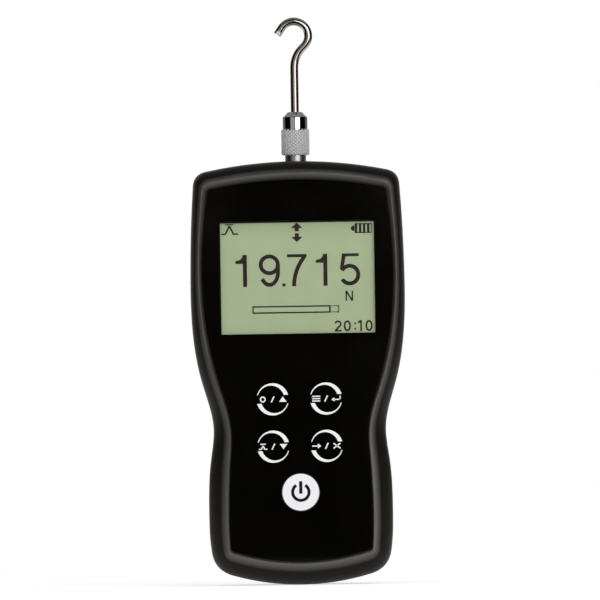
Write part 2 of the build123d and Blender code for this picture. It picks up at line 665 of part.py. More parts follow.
def case_screws():
    """Self-tapping screws that pull the two halves together from behind."""
    screws = []
    for x, height in both_sides(CASE_SCREWS):
        head = post(x, height, CASE_SCREW_HEAD_RADIUS, CASE_SCREW_SEAT - CASE_SCREW_HEAD_HEIGHT,
                    CASE_SCREW_SEAT)
        head = chamfer(head.edges().sort_by(Axis.Y)[-1], CASE_SCREW_HEAD_HEIGHT / 4)
        shank = post(x, height, CASE_SCREW_RADIUS - CASE_SCREW_GAP / 5, CASE_SCREW_SEAT, CASE_SCREW_TIP)
        blade = Rectangle(CASE_SCREW_DRIVE_SPAN, CASE_SCREW_DRIVE_WIDTH)
        cross = blade + Rot(0, 0, 90) * blade
        top = CASE_SCREW_SEAT - CASE_SCREW_HEAD_HEIGHT
        drive = slab(Pos(x, height) * cross, top, top + CASE_SCREW_DRIVE_DEPTH)
        screws.append(head + shank - drive)
    return screws


def cell_middles():
    """The X position of each battery cell."""
    pitch = 2 * (CELL_RADIUS + CELL_GAP)
    return [(count - (CELL_COUNT - 1) / 2) * pitch for count in range(CELL_COUNT)]


def battery_cells():
    """Cells side by side, each the other way up from the one before."""
    depth = DOOR_THICKNESS + DOOR_GAP + CELL_RADIUS + CELL_GAP
    low = BAY_BOTTOM + CONTACT_SPACE
    high = low + CELL_LENGTH + CELL_NUB_LENGTH
    cells = []
    for count, x in enumerate(cell_middles()):
        if count % 2:
            barrel = column(CELL_RADIUS, low, high - CELL_NUB_LENGTH, x, depth)
            nub = column(CELL_NUB_RADIUS, high - CELL_NUB_LENGTH, high, x, depth)
        else:
            barrel = column(CELL_RADIUS, low + CELL_NUB_LENGTH, high, x, depth)
            nub = column(CELL_NUB_RADIUS, low, low + CELL_NUB_LENGTH, x, depth)
        cells.append(barrel + nub)
    return cells


def battery_contacts():
    """Folded leaf contacts at both ends of the bay, one for each end of a cell."""
    depth = DOOR_THICKNESS + DOOR_GAP + CELL_RADIUS + CELL_GAP
    half, sheet = CONTACT_WIDTH / 2, CONTACT_THICKNESS
    fold = Polygon((-half, 0), (half, 0), (0, CONTACT_SPACE), align=None)
    room = Polygon((3 * sheet - half, sheet), (half - 3 * sheet, sheet),
                   (0, CONTACT_SPACE - 1.5 * sheet), align=None)
    leaf = extrude(Plane.YZ * (fold - room), CONTACT_WIDTH / 2, both=True)
    contacts = []
    for x in cell_middles():
        contacts.append(Pos(x, -depth, BAY_BOTTOM) * leaf)
        contacts.append(Pos(x, -depth, BAY_TOP) * Rot(180, 0, 0) * leaf)
    return contacts


# Chassis, stand mount and load cell

def mount_points():
    """The four threaded holes of the stand mount, as X and height."""
    half_x, half_z = MOUNT_SPACING_X / 2, MOUNT_SPACING_Z / 2
    return [(side * half_x, MOUNT_HEIGHT + end * half_z) for side in SIDES for end in SIDES]


def chassis_screw_points():
    """The countersunk screws of the bracket and the stop, as X and height."""
    bracket = (BRACKET_SCREW_SPREAD, BRACKET_HEIGHT + BRACKET_THICKNESS / 2)
    stop = (STOP_SCREW_SPREAD, (STOP_BOTTOM + STOP_TOP) / 2)
    return both_sides([bracket, stop])


def countersunk_form(x, height, grow):
    """A countersunk screw from the plate's back, grown in radius."""
    taper = CSK_HEAD_RADIUS - CSK_RADIUS
    head = Cone(CSK_RADIUS + grow, CSK_HEAD_RADIUS + grow, taper)
    head = Pos(x, -PLATE_BACK - taper / 2, height) * Rot(-90, 0, 0) * head
    return head + post(x, height, CSK_RADIUS + grow, PLATE_BACK, PLATE_BACK + CSK_LENGTH + grow)


def chassis_screws():
    """Countersunk screws that fasten the bracket and the stop to the plate."""
    screws = []
    for x, height in chassis_screw_points():
        key = slab(Pos(x, height) * RegularPolygon(1.4, 6), PLATE_BACK, PLATE_BACK + 1.2)
        screws.append(countersunk_form(x, height, 0) - key)
    return screws


def chassis_plate():
    """Flat plate that carries the load cell and takes the stand's pull."""
    middle = (PLATE_BOTTOM + PLATE_TOP) / 2
    face = Pos(0, middle) * RectangleRounded(PLATE_WIDTH, PLATE_TOP - PLATE_BOTTOM, PLATE_CORNER)
    plate = slab(face, PLATE_BACK, PLATE_FRONT)
    for x, height in mount_points():
        plate -= post(x, height, SPIGOT_RADIUS, PLATE_BACK, PLATE_FRONT)
    for x, height in both_sides(PLATE_SCREWS):
        plate -= post(x, height, PLATE_SCREW_RADIUS + FIT_GAP, PLATE_BACK, PLATE_FRONT)
    for x, height in chassis_screw_points():
        plate -= countersunk_form(x, height, FIT_GAP)
    return plate


def mount_standoffs():
    """Threaded stand-offs riveted in the plate, flush with the back of the case."""
    standoffs = []
    for x, height in mount_points():
        body = post(x, height, STANDOFF_RADIUS, 0, PLATE_BACK)
        body += post(x, height, SPIGOT_RADIUS, PLATE_BACK, PLATE_FRONT)
        body -= post(x, height, MOUNT_HOLE_RADIUS, 0, PLATE_FRONT)
        standoffs.append(body)
    return standoffs


def plate_screws():
    """Short screws that hold the plate to bosses in the rear housing."""
    screws = []
    for x, height in both_sides(PLATE_SCREWS):
        head = post(x, height, 2 * PLATE_SCREW_RADIUS, PLATE_FRONT, PLATE_FRONT + PLATE_SCREW_RADIUS)
        shank = post(x, height, PLATE_SCREW_RADIUS - FIT_GAP / 2,
                     PLATE_FRONT - PLATE_SCREW_LENGTH + FIT_GAP, PLATE_FRONT)
        screws.append(head + shank)
    return screws


def load_cell_bracket():
    """Foot that stands out from the plate under the load cell."""
    half = BRACKET_WIDTH / 2
    front = SPINDLE_DEPTH + CELL_BLOCK_THICKNESS / 2
    foot = block(-half, half, BRACKET_HEIGHT, BRACKET_TOP, PLATE_FRONT, front)
    foot = chamfer(foot.edges().filter_by(Axis.Z).sort_by(Axis.Y)[:2], 2)
    foot -= column(BOLT_RADIUS + BOLT_GAP, BRACKET_HEIGHT, BRACKET_TOP)
    for x, height in chassis_screw_points():
        foot -= countersunk_form(x, height, FIT_GAP)
    return foot


def load_cell_bolt():
    """Cap screw from below that holds the load cell's lower arm to the bracket."""
    bolt = column(BOLT_HEAD_RADIUS, BRACKET_HEIGHT - BOLT_HEAD_HEIGHT, BRACKET_HEIGHT)
    bolt = chamfer(bolt.edges().sort_by(Axis.Z)[0], 0.5)
    bolt += column(BOLT_RADIUS, BRACKET_HEIGHT, BRACKET_TOP + BOLT_REACH)
    socket = Plane((0, -SPINDLE_DEPTH, BRACKET_HEIGHT - BOLT_HEAD_HEIGHT))
    key = extrude(socket * RegularPolygon(BOLT_KEY_RADIUS, 6), BOLT_KEY_DEPTH)
    return bolt - key


def load_cell():
    """S-shaped beam: two slots from opposite sides, and a double eye that thins the middle."""
    half, deep = CELL_BLOCK_WIDTH / 2, CELL_BLOCK_THICKNESS / 2
    back, front = SPINDLE_DEPTH - deep, SPINDLE_DEPTH + deep
    beam = block(-half, half, BRACKET_TOP, CELL_TOP, back, front)
    upper, lower = CELL_TOP - CELL_ARM, BRACKET_TOP + CELL_ARM
    beam -= block(-half, CELL_SLOT_REACH, upper - CELL_SLOT, upper, back, front)
    beam -= block(-CELL_SLOT_REACH, half, lower, lower + CELL_SLOT, back, front)
    middle = (upper + lower) / 2
    for side in SIDES:
        beam -= post(side * CELL_EYE_SPREAD, middle, CELL_EYE_RADIUS, back, front)
    beam -= block(-CELL_EYE_SPREAD, CELL_EYE_SPREAD, middle - CELL_SLOT, middle + CELL_SLOT, back, front)
    beam = chamfer(beam.edges().filter_by(Axis.Y).filter_by(at_side(half)), 1)
    beam -= column(BOLT_RADIUS, BRACKET_TOP, BRACKET_TOP + BOLT_REACH + BOLT_GAP)
    beam -= column(SPINDLE_STUD_RADIUS, CELL_TOP - SPINDLE_STUD_REACH - BOLT_GAP, CELL_TOP)
    return beam


def at_side(half):
    """Whether an edge lies at the outer corners of the load cell."""
    def outer(edge):
        middle = edge.center()
        at_end = min(abs(middle.Z - BRACKET_TOP), abs(middle.Z - CELL_TOP)) < FIT_GAP
        return at_end and abs(abs(middle.X) - half) < FIT_GAP
    return outer


# Spindle and overload stop

def overload_stop():
    """Block with a groove that limits the travel of the spindle's collar."""
    half = STOP_WIDTH / 2
    front = SPINDLE_DEPTH + CELL_BLOCK_THICKNESS / 2
    stop = block(-half, half, STOP_BOTTOM, STOP_TOP, PLATE_FRONT, front)
    neck = SPINDLE_RADIUS + STOP_SIDE_GAP
    stop -= column(neck, STOP_BOTTOM, STOP_TOP)
    stop -= block(-neck, neck, STOP_BOTTOM, STOP_TOP, SPINDLE_DEPTH, front)
    low, high = STOP_COLLAR_HEIGHT - STOP_GAP, STOP_COLLAR_HEIGHT + STOP_COLLAR_THICKNESS + STOP_GAP
    wide = STOP_COLLAR_RADIUS + STOP_SIDE_GAP
    stop -= column(wide, low, high)
    stop -= block(-wide, wide, low, high, SPINDLE_DEPTH, front)
    for x, height in chassis_screw_points():
        stop -= countersunk_form(x, height, FIT_GAP)
    return stop


def spindle():
    """Pull rod: stud in the load cell, stop collar, plain shaft and threaded end."""
    rod = column(SPINDLE_RADIUS, CELL_TOP + NUT_THICKNESS, SPINDLE_SHOULDER)
    rod += column(SPINDLE_STUD_RADIUS, CELL_TOP - SPINDLE_STUD_REACH, CELL_TOP + NUT_THICKNESS)
    rod += column(STOP_COLLAR_RADIUS, STOP_COLLAR_HEIGHT, STOP_COLLAR_HEIGHT + STOP_COLLAR_THICKNESS)
    thread_radius = SPINDLE_STUD_RADIUS - THREAD_GAP
    thread = column(thread_radius, SPINDLE_SHOULDER, SPINDLE_SHOULDER + SPINDLE_THREAD_LENGTH)
    return rod + chamfer(thread.edges().sort_by(Axis.Z)[-1], 0.6)


def spindle_lock_nut():
    """Hexagon nut that locks the spindle's stud in the load cell."""
    corner_radius = NUT_ACROSS_FLATS / sqrt(3)
    hexagon = RegularPolygon(corner_radius, 6) - Circle(SPINDLE_STUD_RADIUS)
    return extrude(Plane((0, -SPINDLE_DEPTH, CELL_TOP)) * hexagon, NUT_THICKNESS)


def spindle_bush():
    """Plastic bush that guides the spindle through the top of the case."""
    return bush_form(0) - column(SPINDLE_RADIUS + SPINDLE_GAP, CASE_HEIGHT - 2 * BUSH_LENGTH, CASE_HEIGHT)


# Ferrule and hook

def hook_ferrule():
    """Threaded ferrule: a band to grip, and a smooth neck with a countersink for the hook."""
    band = column(FERRULE_RADIUS, SPINDLE_SHOULDER, NECK_BOTTOM)
    band = chamfer(band.edges().filter_by(GeomType.CIRCLE), BAND_CHAMFER)
    neck = column(NECK_RADIUS, NECK_BOTTOM - 1, FERRULE_TOP)
    ferrule = band + chamfer(neck.edges().sort_by(Axis.Z)[-1], NECK_CHAMFER)
    ferrule -= column(SPINDLE_STUD_RADIUS, SPINDLE_SHOULDER, WASHER_TOP)
    ferrule -= column(WIRE_RADIUS + WIRE_GAP, WASHER_TOP, FERRULE_TOP)
    sink = Cone(WIRE_RADIUS + WIRE_GAP, COUNTERSINK_RADIUS, COUNTERSINK_DEPTH)
    return ferrule - Pos(0, -SPINDLE_DEPTH, FERRULE_TOP - COUNTERSINK_DEPTH / 2) * sink


def swivel_washer():
    """Washer under the neck that the hook and the ferrule turn on."""
    washer = column(WASHER_RADIUS, WASHER_BOTTOM, WASHER_TOP)
    return washer - column(WIRE_RADIUS + WIRE_GAP, WASHER_BOTTOM, WASHER_TOP)


def hook_nut():
    """Round nut on the end of the hook's wire, inside the ferrule."""
    nut = column(HOOK_NUT_RADIUS, HOOK_NUT_BOTTOM, WASHER_BOTTOM)
    return nut - column(WIRE_RADIUS, HOOK_NUT_BOTTOM, WASHER_BOTTOM)


def hook():
    """Round wire: straight shank, reverse bend, open bowl and a short straight tip."""
    lean = radians(SWAN_ANGLE)
    straight = (BOWL_RADIUS * cos(lean) - SWAN_RADIUS * (1 - cos(lean))) / sin(lean)
    shank_top = BOWL_HEIGHT - (BOWL_RADIUS + SWAN_RADIUS) * sin(lean) - straight * cos(lean)
    shank = Line((0, HOOK_NUT_BOTTOM), (0, shank_top))
    swan = JernArc(shank @ 1, shank % 1, SWAN_RADIUS, -SWAN_ANGLE)
    rise = Line(swan @ 1, swan @ 1 + (swan % 1) * straight)
    bowl = JernArc(rise @ 1, rise % 1, BOWL_RADIUS, SWAN_ANGLE + BOWL_END_ANGLE)
    tip = Line(bowl @ 1, bowl @ 1 + (bowl % 1) * TIP_LENGTH)
    route = Plane.XZ.offset(SPINDLE_DEPTH) * Wire([shank, swan, rise, bowl, tip])
    section = Plane((0, -SPINDLE_DEPTH, HOOK_NUT_BOTTOM)) * Circle(WIRE_RADIUS)
    wire = sweep(section, route)
    cut_end = wire.faces().filter_by(GeomType.PLANE).sort_by(Axis.Z)[-1]
    return fillet(cut_end.edges(), TIP_ROUNDING)


def save(node, *solids):
    """Write one node, lowered so that the mount's middle is the origin."""
    lowered = [Pos(0, 0, -MOUNT_HEIGHT) * solid for solid in solids]
    shape = Compound(children=lowered) if len(lowered) > 1 else lowered[0]
    shape.label = node
    export_step(shape, f"parts/{node}.step")


os.makedirs("parts", exist_ok=True)
save("front_housing", front_housing())
save("rear_housing", rear_housing())
save("battery_door", battery_door())
save("front_overlay", front_overlay())
save("display_window", display_window())
save("lcd_bezel", lcd_bezel())
save("lcd_glass", display_sheet(GLASS_BACK, GLASS_FRONT))
save("lcd_backlight", display_sheet(BACKLIGHT_BACK, GLASS_BACK))
save("main_board", main_board())
save("board_screws", *board_screws())
save("tact_switches", *tact_switches())
for name, (key_x, key_height, key_radius) in KEYS.items():
    save(f"{name}_key", key_cap(key_x, key_height, key_radius))
    save(f"{name}_plunger", key_plunger(key_x, key_height))
save("data_socket", side_socket(DATA_SOCKET_HEIGHT, DATA_HOLE_RADIUS))
save("power_socket", side_socket(POWER_SOCKET_HEIGHT, POWER_HOLE_RADIUS, POWER_PIN_RADIUS))
save("case_screws", *case_screws())
save("battery_cells", *battery_cells())
save("battery_contacts", *battery_contacts())
save("chassis_plate", chassis_plate())
save("mount_standoffs", *mount_standoffs())
save("plate_screws", *plate_screws())
save("chassis_screws", *chassis_screws())
save("load_cell_bracket", load_cell_bracket())
save("load_cell_bolt", load_cell_bolt())
save("load_cell", load_cell())
save("overload_stop", overload_stop())
save("spindle", spindle())
save("spindle_lock_nut", spindle_lock_nut())
save("spindle_bush", spindle_bush())
save("hook_ferrule", hook_ferrule())
save("swivel_washer", swivel_washer())
save("hook_nut", hook_nut())
save("hook", hook())
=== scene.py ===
import json
import math

import bpy
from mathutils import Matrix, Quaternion, Vector

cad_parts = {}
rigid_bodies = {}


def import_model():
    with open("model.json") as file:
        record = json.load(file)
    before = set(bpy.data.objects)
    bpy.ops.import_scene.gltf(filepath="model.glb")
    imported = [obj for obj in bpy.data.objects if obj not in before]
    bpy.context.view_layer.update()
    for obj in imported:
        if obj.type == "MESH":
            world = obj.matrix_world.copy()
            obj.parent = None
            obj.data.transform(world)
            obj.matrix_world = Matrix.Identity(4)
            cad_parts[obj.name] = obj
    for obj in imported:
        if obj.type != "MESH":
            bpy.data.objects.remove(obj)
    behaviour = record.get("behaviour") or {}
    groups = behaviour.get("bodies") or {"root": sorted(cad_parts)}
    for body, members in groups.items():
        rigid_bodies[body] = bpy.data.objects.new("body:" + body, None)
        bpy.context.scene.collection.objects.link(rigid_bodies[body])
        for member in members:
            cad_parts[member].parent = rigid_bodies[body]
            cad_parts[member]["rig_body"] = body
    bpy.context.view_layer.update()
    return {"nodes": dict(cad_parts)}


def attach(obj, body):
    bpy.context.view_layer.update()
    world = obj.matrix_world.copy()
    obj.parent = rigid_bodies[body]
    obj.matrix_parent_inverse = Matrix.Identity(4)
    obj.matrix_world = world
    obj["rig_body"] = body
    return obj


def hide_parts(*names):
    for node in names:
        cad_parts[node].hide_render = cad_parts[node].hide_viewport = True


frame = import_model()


# Chassis plate, its standoffs and small screws
# The plate is a rolled aluminium sheet that carries the load cell. Four brass standoffs behind it hold
# the stand-mount threads, and zinc-plated machine screws join the lot.

MM = 0.001


def linear(hex_colour):
    """An sRGB hex colour as linear red, green, blue and alpha."""
    parts = [int(hex_colour[i:i + 2], 16) / 255 for i in (1, 3, 5)]
    return [c / 12.92 if c <= 0.04045 else ((c + 0.055) / 1.055) ** 2.4 for c in parts] + [1.0]


def add_node(material, kind, inputs={}, **settings):
    """Add a node to a material, with its settings and its inputs' values or links."""
    made = material.node_tree.nodes.new(kind)
    for name, value in settings.items():
        setattr(made, name, value)
    for name, value in inputs.items():
        if isinstance(value, bpy.types.NodeSocket):
            material.node_tree.links.new(value, made.inputs[name])
        else:
            made.inputs[name].default_value = value
    return made


def new_material(name):
    """An empty material, with the object's own coordinates in metres."""
    material = bpy.data.materials.new(name)
    material.use_nodes = True
    material.node_tree.nodes.clear()
    return material, add_node(material, "ShaderNodeTexCoord").outputs["Object"]


def put_on(material, shader, *names):
    """Join a shader to the material's output, and put the material on these CAD pieces."""
    add_node(material, "ShaderNodeOutputMaterial", {"Surface": shader.outputs[0]})
    for name in names:
        for place in frame["nodes"][name].material_slots:
            place.material = material


def mottled(material, place, patch_mm, dark, light, detail=2.0):
    """A tone that drifts between two colours in soft patches of a size in mm."""
    patches = add_node(material, "ShaderNodeTexNoise", {
        "Vector": place, "Scale": 1 / (patch_mm * MM), "Detail": detail}).outputs[0]
    return add_node(material, "ShaderNodeMix", {
        0: patches, 6: linear(dark), 7: linear(light)}, data_type="RGBA").outputs[2]


def worked_metal(name, dark, light, roughness, grain_mm, stretch, depth=0.15):
    """A bare or plated metal whose rolling, turning or brushing marks run along one axis."""
    material, place = new_material(name)
    run = add_node(material, "ShaderNodeMapping", {"Vector": place, "Scale": stretch})
    marks = add_node(material, "ShaderNodeTexNoise", {
        "Vector": run.outputs[0], "Scale": 1 / (grain_mm * MM), "Detail": 3.0}).outputs[0]
    tone = mottled(material, place, 9, dark, light)
    finish = add_node(material, "ShaderNodeMapRange", {
        "Value": marks, "To Min": roughness * 0.75, "To Max": roughness * 1.25}).outputs[0]
    relief = add_node(material, "ShaderNodeBump", {
        "Height": marks, "Strength": depth, "Distance": 0.02 * MM}).outputs[0]
    shader = add_node(material, "ShaderNodeBsdfPrincipled", {
        "Base Color": tone, "Metallic": 1.0, "Roughness": finish, "Normal": relief})
    return material, shader


# Rolled 5052 aluminium sheet: long fine mill lines and a satin grey.
put_on(*worked_metal("rolled_aluminium_plate", "#b4b6b8", "#c8cacc", 0.38, 0.5, (1, 1, 0.06)),
       "chassis_plate")
# Turned brass: fine rings round each post and a yellow satin.
put_on(*worked_metal("turned_brass_standoff", "#b08d46", "#c9a862", 0.28, 0.3, (0.3, 1, 0.3)),
       "mount_standoffs")
# Bright zinc plate on steel: pale, slightly blue and a little cloudy.
put_on(*worked_metal("zinc_plated_steel_screw", "#aeb2b6", "#c6cacd", 0.3, 0.4, (1, 1, 1)),
       "board_screws", "plate_screws", "chassis_screws", "case_screws")


# Load cell, its foot bracket, bolt and overload stop
# The cell is a milled aluminium S-beam. The bracket and the stop are milled from aluminium too, and
# a blackened cap screw clamps the cell down.

# Milled aluminium beam: pale, with cutter marks along its height.
put_on(*worked_metal("milled_aluminium_load_cell", "#b9bbbd", "#cfd1d3", 0.32, 0.35, (1, 1, 0.2)),
       "load_cell")
# Milled aluminium bar: a little darker, with cutter marks along its width.
put_on(*worked_metal("milled_bracket_aluminium", "#a9abad", "#c0c2c4", 0.36, 0.45, (0.15, 1, 1)),
       "load_cell_bracket", "overload_stop")
# Black-oxide steel: dark grey, oily and a little blotchy.
put_on(*worked_metal("black_oxide_steel", "#1c1c1e", "#2c2c2f", 0.42, 0.5, (1, 1, 1)), "load_cell_bolt")


# Spindle, lock nut and bush
# A ground stainless rod comes out of the top of the case through a black acetal bush, and the
# hook's ferrule screws down on it. The nut locks its lower end to the load cell.

# Ground stainless steel: fine rings round the rod and a warm satin grey.
put_on(*worked_metal("ground_stainless_spindle", "#b4b3ad", "#cfcec8", 0.36, 0.25, (0.15, 0.15, 1)),
       "spindle")
# Nickel plate on steel: warm and bright.
put_on(*worked_metal("nickel_plated_lock_nut", "#b9b6ae", "#cfccc5", 0.24, 0.4, (1, 1, 1)),
       "spindle_lock_nut")


def moulded_plastic(name, dark, light, roughness, grain_mm, depth, relief_mm=0.03):
    """A moulded plastic whose skin copies the fine grain of its mould."""
    material, place = new_material(name)
    grain = add_node(material, "ShaderNodeTexNoise", {
        "Vector": place, "Scale": 1 / (grain_mm * MM), "Detail": 2.0, "Roughness": 0.6}).outputs[0]
    flow = add_node(material, "ShaderNodeTexNoise", {
        "Vector": place, "Scale": 1 / (14 * MM), "Detail": 2.0}).outputs[0]
    tone = add_node(material, "ShaderNodeMix", {
        0: flow, 6: linear(dark), 7: linear(light)}, data_type="RGBA").outputs[2]
    finish = add_node(material, "ShaderNodeMapRange", {
        "Value": flow, "To Min": roughness - 0.04, "To Max": roughness + 0.04}).outputs[0]
    relief = add_node(material, "ShaderNodeBump", {
        "Height": grain, "Strength": depth, "Distance": relief_mm * MM}).outputs[0]
    shader = add_node(material, "ShaderNodeBsdfPrincipled", {
        "Base Color": tone, "Roughness": finish, "Normal": relief})
    return material, shader


# Turned black acetal: smooth and slightly waxy.
put_on(*moulded_plastic("turned_acetal_bush", "#1a1a1a", "#242424", 0.35, 0.3, 0.1), "spindle_bush")


# Housings and battery door
# All three are injection-moulded black ABS with a fine spark-eroded grain. The door slides up over the
# battery bay from the bottom, and six screws in deep wells hold the two halves together.

CREST_FOOT, CREST_TOP = -34.9, -35.9


def joined_copy(node, angle):
    """A piece that stands for a node, with its faces joined up so that its curves shade as curves."""
    source = frame["nodes"][node]
    piece = bpy.data.objects.new(f"{node}_skin", source.data.copy())
    bpy.context.scene.collection.objects.link(piece)
    bpy.ops.object.select_all(action="DESELECT")
    bpy.context.view_layer.objects.active = piece
    piece.select_set(True)
    if piece.data.has_custom_normals:
        bpy.ops.mesh.customdata_custom_splitnormals_clear()
    bpy.ops.object.mode_set(mode="EDIT")
    bpy.ops.mesh.select_all(action="SELECT")
    bpy.ops.mesh.remove_doubles(threshold=0.001 * MM)
    bpy.ops.object.mode_set(mode="OBJECT")
    bpy.ops.object.shade_smooth_by_angle(angle=math.radians(angle))
    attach(piece, source["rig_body"])
    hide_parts(node)
    return piece


def retouch(material, shader, where, colour):
    """Give a shader another colour where a mask is one, and its own where the mask is nought."""
    own = shader.inputs["Base Color"].links[0].from_socket
    tone = add_node(material, "ShaderNodeMix", {
        0: where, 6: own, 7: linear(colour)}, data_type="RGBA").outputs[2]
    material.node_tree.links.new(tone, shader.inputs["Base Color"])


# Black ABS from a spark-eroded mould: near black, slightly brown, with a satin skin.
# The crest of the rim is glossier, and its grey there is a painted sheen that stands in for the lamps
# catching the crest.
grained_abs, grained_abs_shader = moulded_plastic(
    "spark_eroded_black_abs", "#0b0904", "#130f07", 0.45, 0.8, 0.9, 0.08)
grained_abs_place = add_node(grained_abs, "ShaderNodeTexCoord").outputs["Object"]
depth_axis = add_node(grained_abs, "ShaderNodeSeparateXYZ", {"Vector": grained_abs_place}).outputs["Y"]
crest = add_node(grained_abs, "ShaderNodeMapRange", {
    "Value": depth_axis, "From Min": CREST_FOOT * MM, "From Max": CREST_TOP * MM}).outputs[0]
gloss = add_node(grained_abs, "ShaderNodeMapRange", {
    "Value": crest, "To Min": 0.16, "To Max": 0.95}).outputs[0]
grained_abs.node_tree.links.new(gloss, grained_abs_shader.inputs["Specular IOR Level"])
# Painted sheen: the crest is coloured grey to stand for its lit highlight.
retouch(grained_abs, grained_abs_shader, crest, "#3a3936")
put_on(grained_abs, grained_abs_shader, "rear_housing", "battery_door", "front_housing")
for node in ("rear_housing", "battery_door", "front_housing"):
    joined_copy(node, 28)


# Batteries and their contacts
# Four AAA cells with printed foil jackets lie side by side under the door, between nickel-plated
# spring-steel contacts.

# Printed foil jacket: grey-blue with a soft metal sheen.
put_on(*worked_metal("printed_foil_cell_jacket", "#3b4652", "#4c5966", 0.35, 0.6, (1, 1, 0.2)),
       "battery_cells")
# Nickel plate on spring steel: warm and bright.
put_on(*worked_metal("nickel_plated_contact", "#bdb9b0", "#d0ccc4", 0.22, 0.4, (1, 1, 1)), "battery_contacts")


# Main board, switches and side sockets
# The board is green FR-4 with a gloss solder mask. Five tact switches sit under the keys, and two
# black nylon sockets open through the left wall.

# Gloss green solder mask on FR-4, with straight copper tracks that show through a little paler.
solder_mask, place = new_material("green_solder_mask_fr4")
tracks = add_node(solder_mask, "ShaderNodeTexBrick", {
    "Vector": place, "Color1": linear("#1f5a33"), "Color2": linear("#236239"), "Mortar": linear("#2f7a48"),
    "Scale": 1 / (6 * MM), "Mortar Size": 0.03}).outputs[0]
put_on(solder_mask, add_node(solder_mask, "ShaderNodeBsdfPrincipled", {
    "Base Color": tracks, "Roughness": 0.3}), "main_board")
# Moulded black nylon: satin, with a fine grain.
put_on(*moulded_plastic("black_nylon_socket", "#141414", "#1c1c1c", 0.4, 0.3, 0.15),
       "data_socket", "power_socket", "tact_switches")
# Moulded natural nylon: milky and slightly warm.
put_on(*moulded_plastic("natural_nylon_plunger", "#cfcabb", "#d9d5c8", 0.45, 0.3, 0.15),
       "zero_plunger", "menu_plunger", "peak_plunger", "send_plunger", "power_plunger")


# Display: steel frame, backlight, glass and its picture
# A liquid-crystal glass lies on a frosted acrylic light guide, and a pressed steel frame holds them.
# The dark marks are the crystal's own, so they lie just on the glass.

DISPLAY_CENTRE = 3.9
GLASS_FRONT = -33.3
SHADE_FOOT, SHADE_TOP = 14, 19
PICTURE_THICKNESS, PICTURE_SUNK = 0.05, 0.02

# Tin plate on pressed steel: dull grey, with rolling lines.
put_on(*worked_metal("tin_plated_display_frame", "#8f9193", "#a5a7a9", 0.35, 0.5, (1, 1, 0.2)), "lcd_bezel")
# Milky acrylic: pale green-white and even.
put_on(*moulded_plastic("milky_acrylic_backlight", "#d9dfc8", "#e2e8d2", 0.3, 0.5, 0.05), "lcd_backlight")

# Liquid-crystal glass: yellow-green and satin, a little cloudy, with painted shade darkening it towards its
# top edge.
display_green, place = new_material("liquid_crystal_glass")
green = mottled(display_green, place, 7, "#b8c2a3", "#c2ccae", 3.0)
high = add_node(display_green, "ShaderNodeSeparateXYZ", {"Vector": place}).outputs["Z"]
shade = add_node(display_green, "ShaderNodeMapRange", {
    "Value": high,
    "From Min": (DISPLAY_CENTRE + SHADE_FOOT) * MM, "From Max": (DISPLAY_CENTRE + SHADE_TOP) * MM,
    "To Min": 0.0, "To Max": 0.3}).outputs[0]
green = add_node(display_green, "ShaderNodeMix", {
    0: shade, 6: green, 7: linear("#8d9a7b")}, data_type="RGBA").outputs[2]
put_on(display_green, add_node(display_green, "ShaderNodeBsdfPrincipled", {
    "Base Color": green, "Roughness": 0.55, "Specular IOR Level": 0.3}), "lcd_glass")


def arc(x, z, across, up, start, end, steps=24):
    """Points along an ellipse's arc, with its angles in degrees from the right."""
    turns = [math.radians(start + (end - start) * i / steps) for i in range(steps + 1)]
    return [(x + across * math.cos(t), z + up * math.sin(t)) for t in turns]


def ribbon(points, width):
    """The outline of a flat stroke of one width along a row of points."""
    left, right = [], []
    for i, here in enumerate(points):
        before, after = points[max(i - 1, 0)], points[min(i + 1, len(points) - 1)]
        run = Vector((after[0] - before[0], after[1] - before[1])).normalized()
        left.append((here[0] - run.y * width / 2, here[1] + run.x * width / 2))
        right.append((here[0] + run.y * width / 2, here[1] - run.x * width / 2))
    return left + right[::-1]


def box(x0, z0, x1, z1):
    """The outline of an upright rectangle."""
    return [(x0, z0), (x1, z0), (x1, z1), (x0, z1)]


def print_shapes(name, outlines, back, thickness, material, body):
    """Flat printed shapes, in mm in the front view, as one thin piece whose back lies at a depth."""
    made = []
    for outline in outlines:
        curve = bpy.data.curves.new(name, "CURVE")
        curve.dimensions, curve.fill_mode, curve.extrude = "2D", "BOTH", thickness / 2 * MM
        spline = curve.splines.new("POLY")
        spline.points.add(len(outline) - 1)
        for point, (x, z) in zip(spline.points, outline):
            point.co = (x * MM, z * MM, 0, 1)
        spline.use_cyclic_u = True
        shape = bpy.data.objects.new(name, curve)
        bpy.context.scene.collection.objects.link(shape)
        made.append(shape)
    bpy.ops.object.select_all(action="DESELECT")
    for shape in made:
        shape.select_set(True)
    piece = bpy.context.view_layer.objects.active = made[0]
    bpy.ops.object.convert(target="MESH")
    bpy.ops.object.join()
    piece.rotation_euler = (math.radians(90), 0, 0)
    piece.location = (0, (back - thickness / 2) * MM, 0)
    bpy.ops.object.transform_apply(location=True, rotation=True, scale=True)
    piece.name = name
    piece.data.materials.clear()
    piece.data.materials.append(material)
    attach(piece, body)


# Dark crystal: a warm grey-black, a little uneven where the crystal turns less.
dark_crystal, place = new_material("turned_liquid_crystal")
put_on(dark_crystal, add_node(dark_crystal, "ShaderNodeBsdfPrincipled", {
    "Base Color": mottled(dark_crystal, place, 1.2, "#20141a", "#2e1d22"),
    "Roughness": 0.6, "Specular IOR Level": 0.3}))

# The picture's places are in mm right of the display's centre line and above its centre.
BIG_STROKE = 1.37
HALF = BIG_STROKE / 2
THIN_STROKE = 0.62
UNIT_LINE, UNIT_SLANT = 0.5, 0.55
FIGURE_LOW, FIGURE_HIGH = -3.07, 7.97
TOP_BAR_LOW = 6.95
BOWL_ACROSS = 2.95
NINE_X, EYE_Z, EYE_UP, TAIL_Z, TAIL_UP = -9.63, 4.45, 2.9, 1.95, 4.42
FIVE_X, FIVE_Z, FIVE_UP = 18.0, 0.65, 3.05


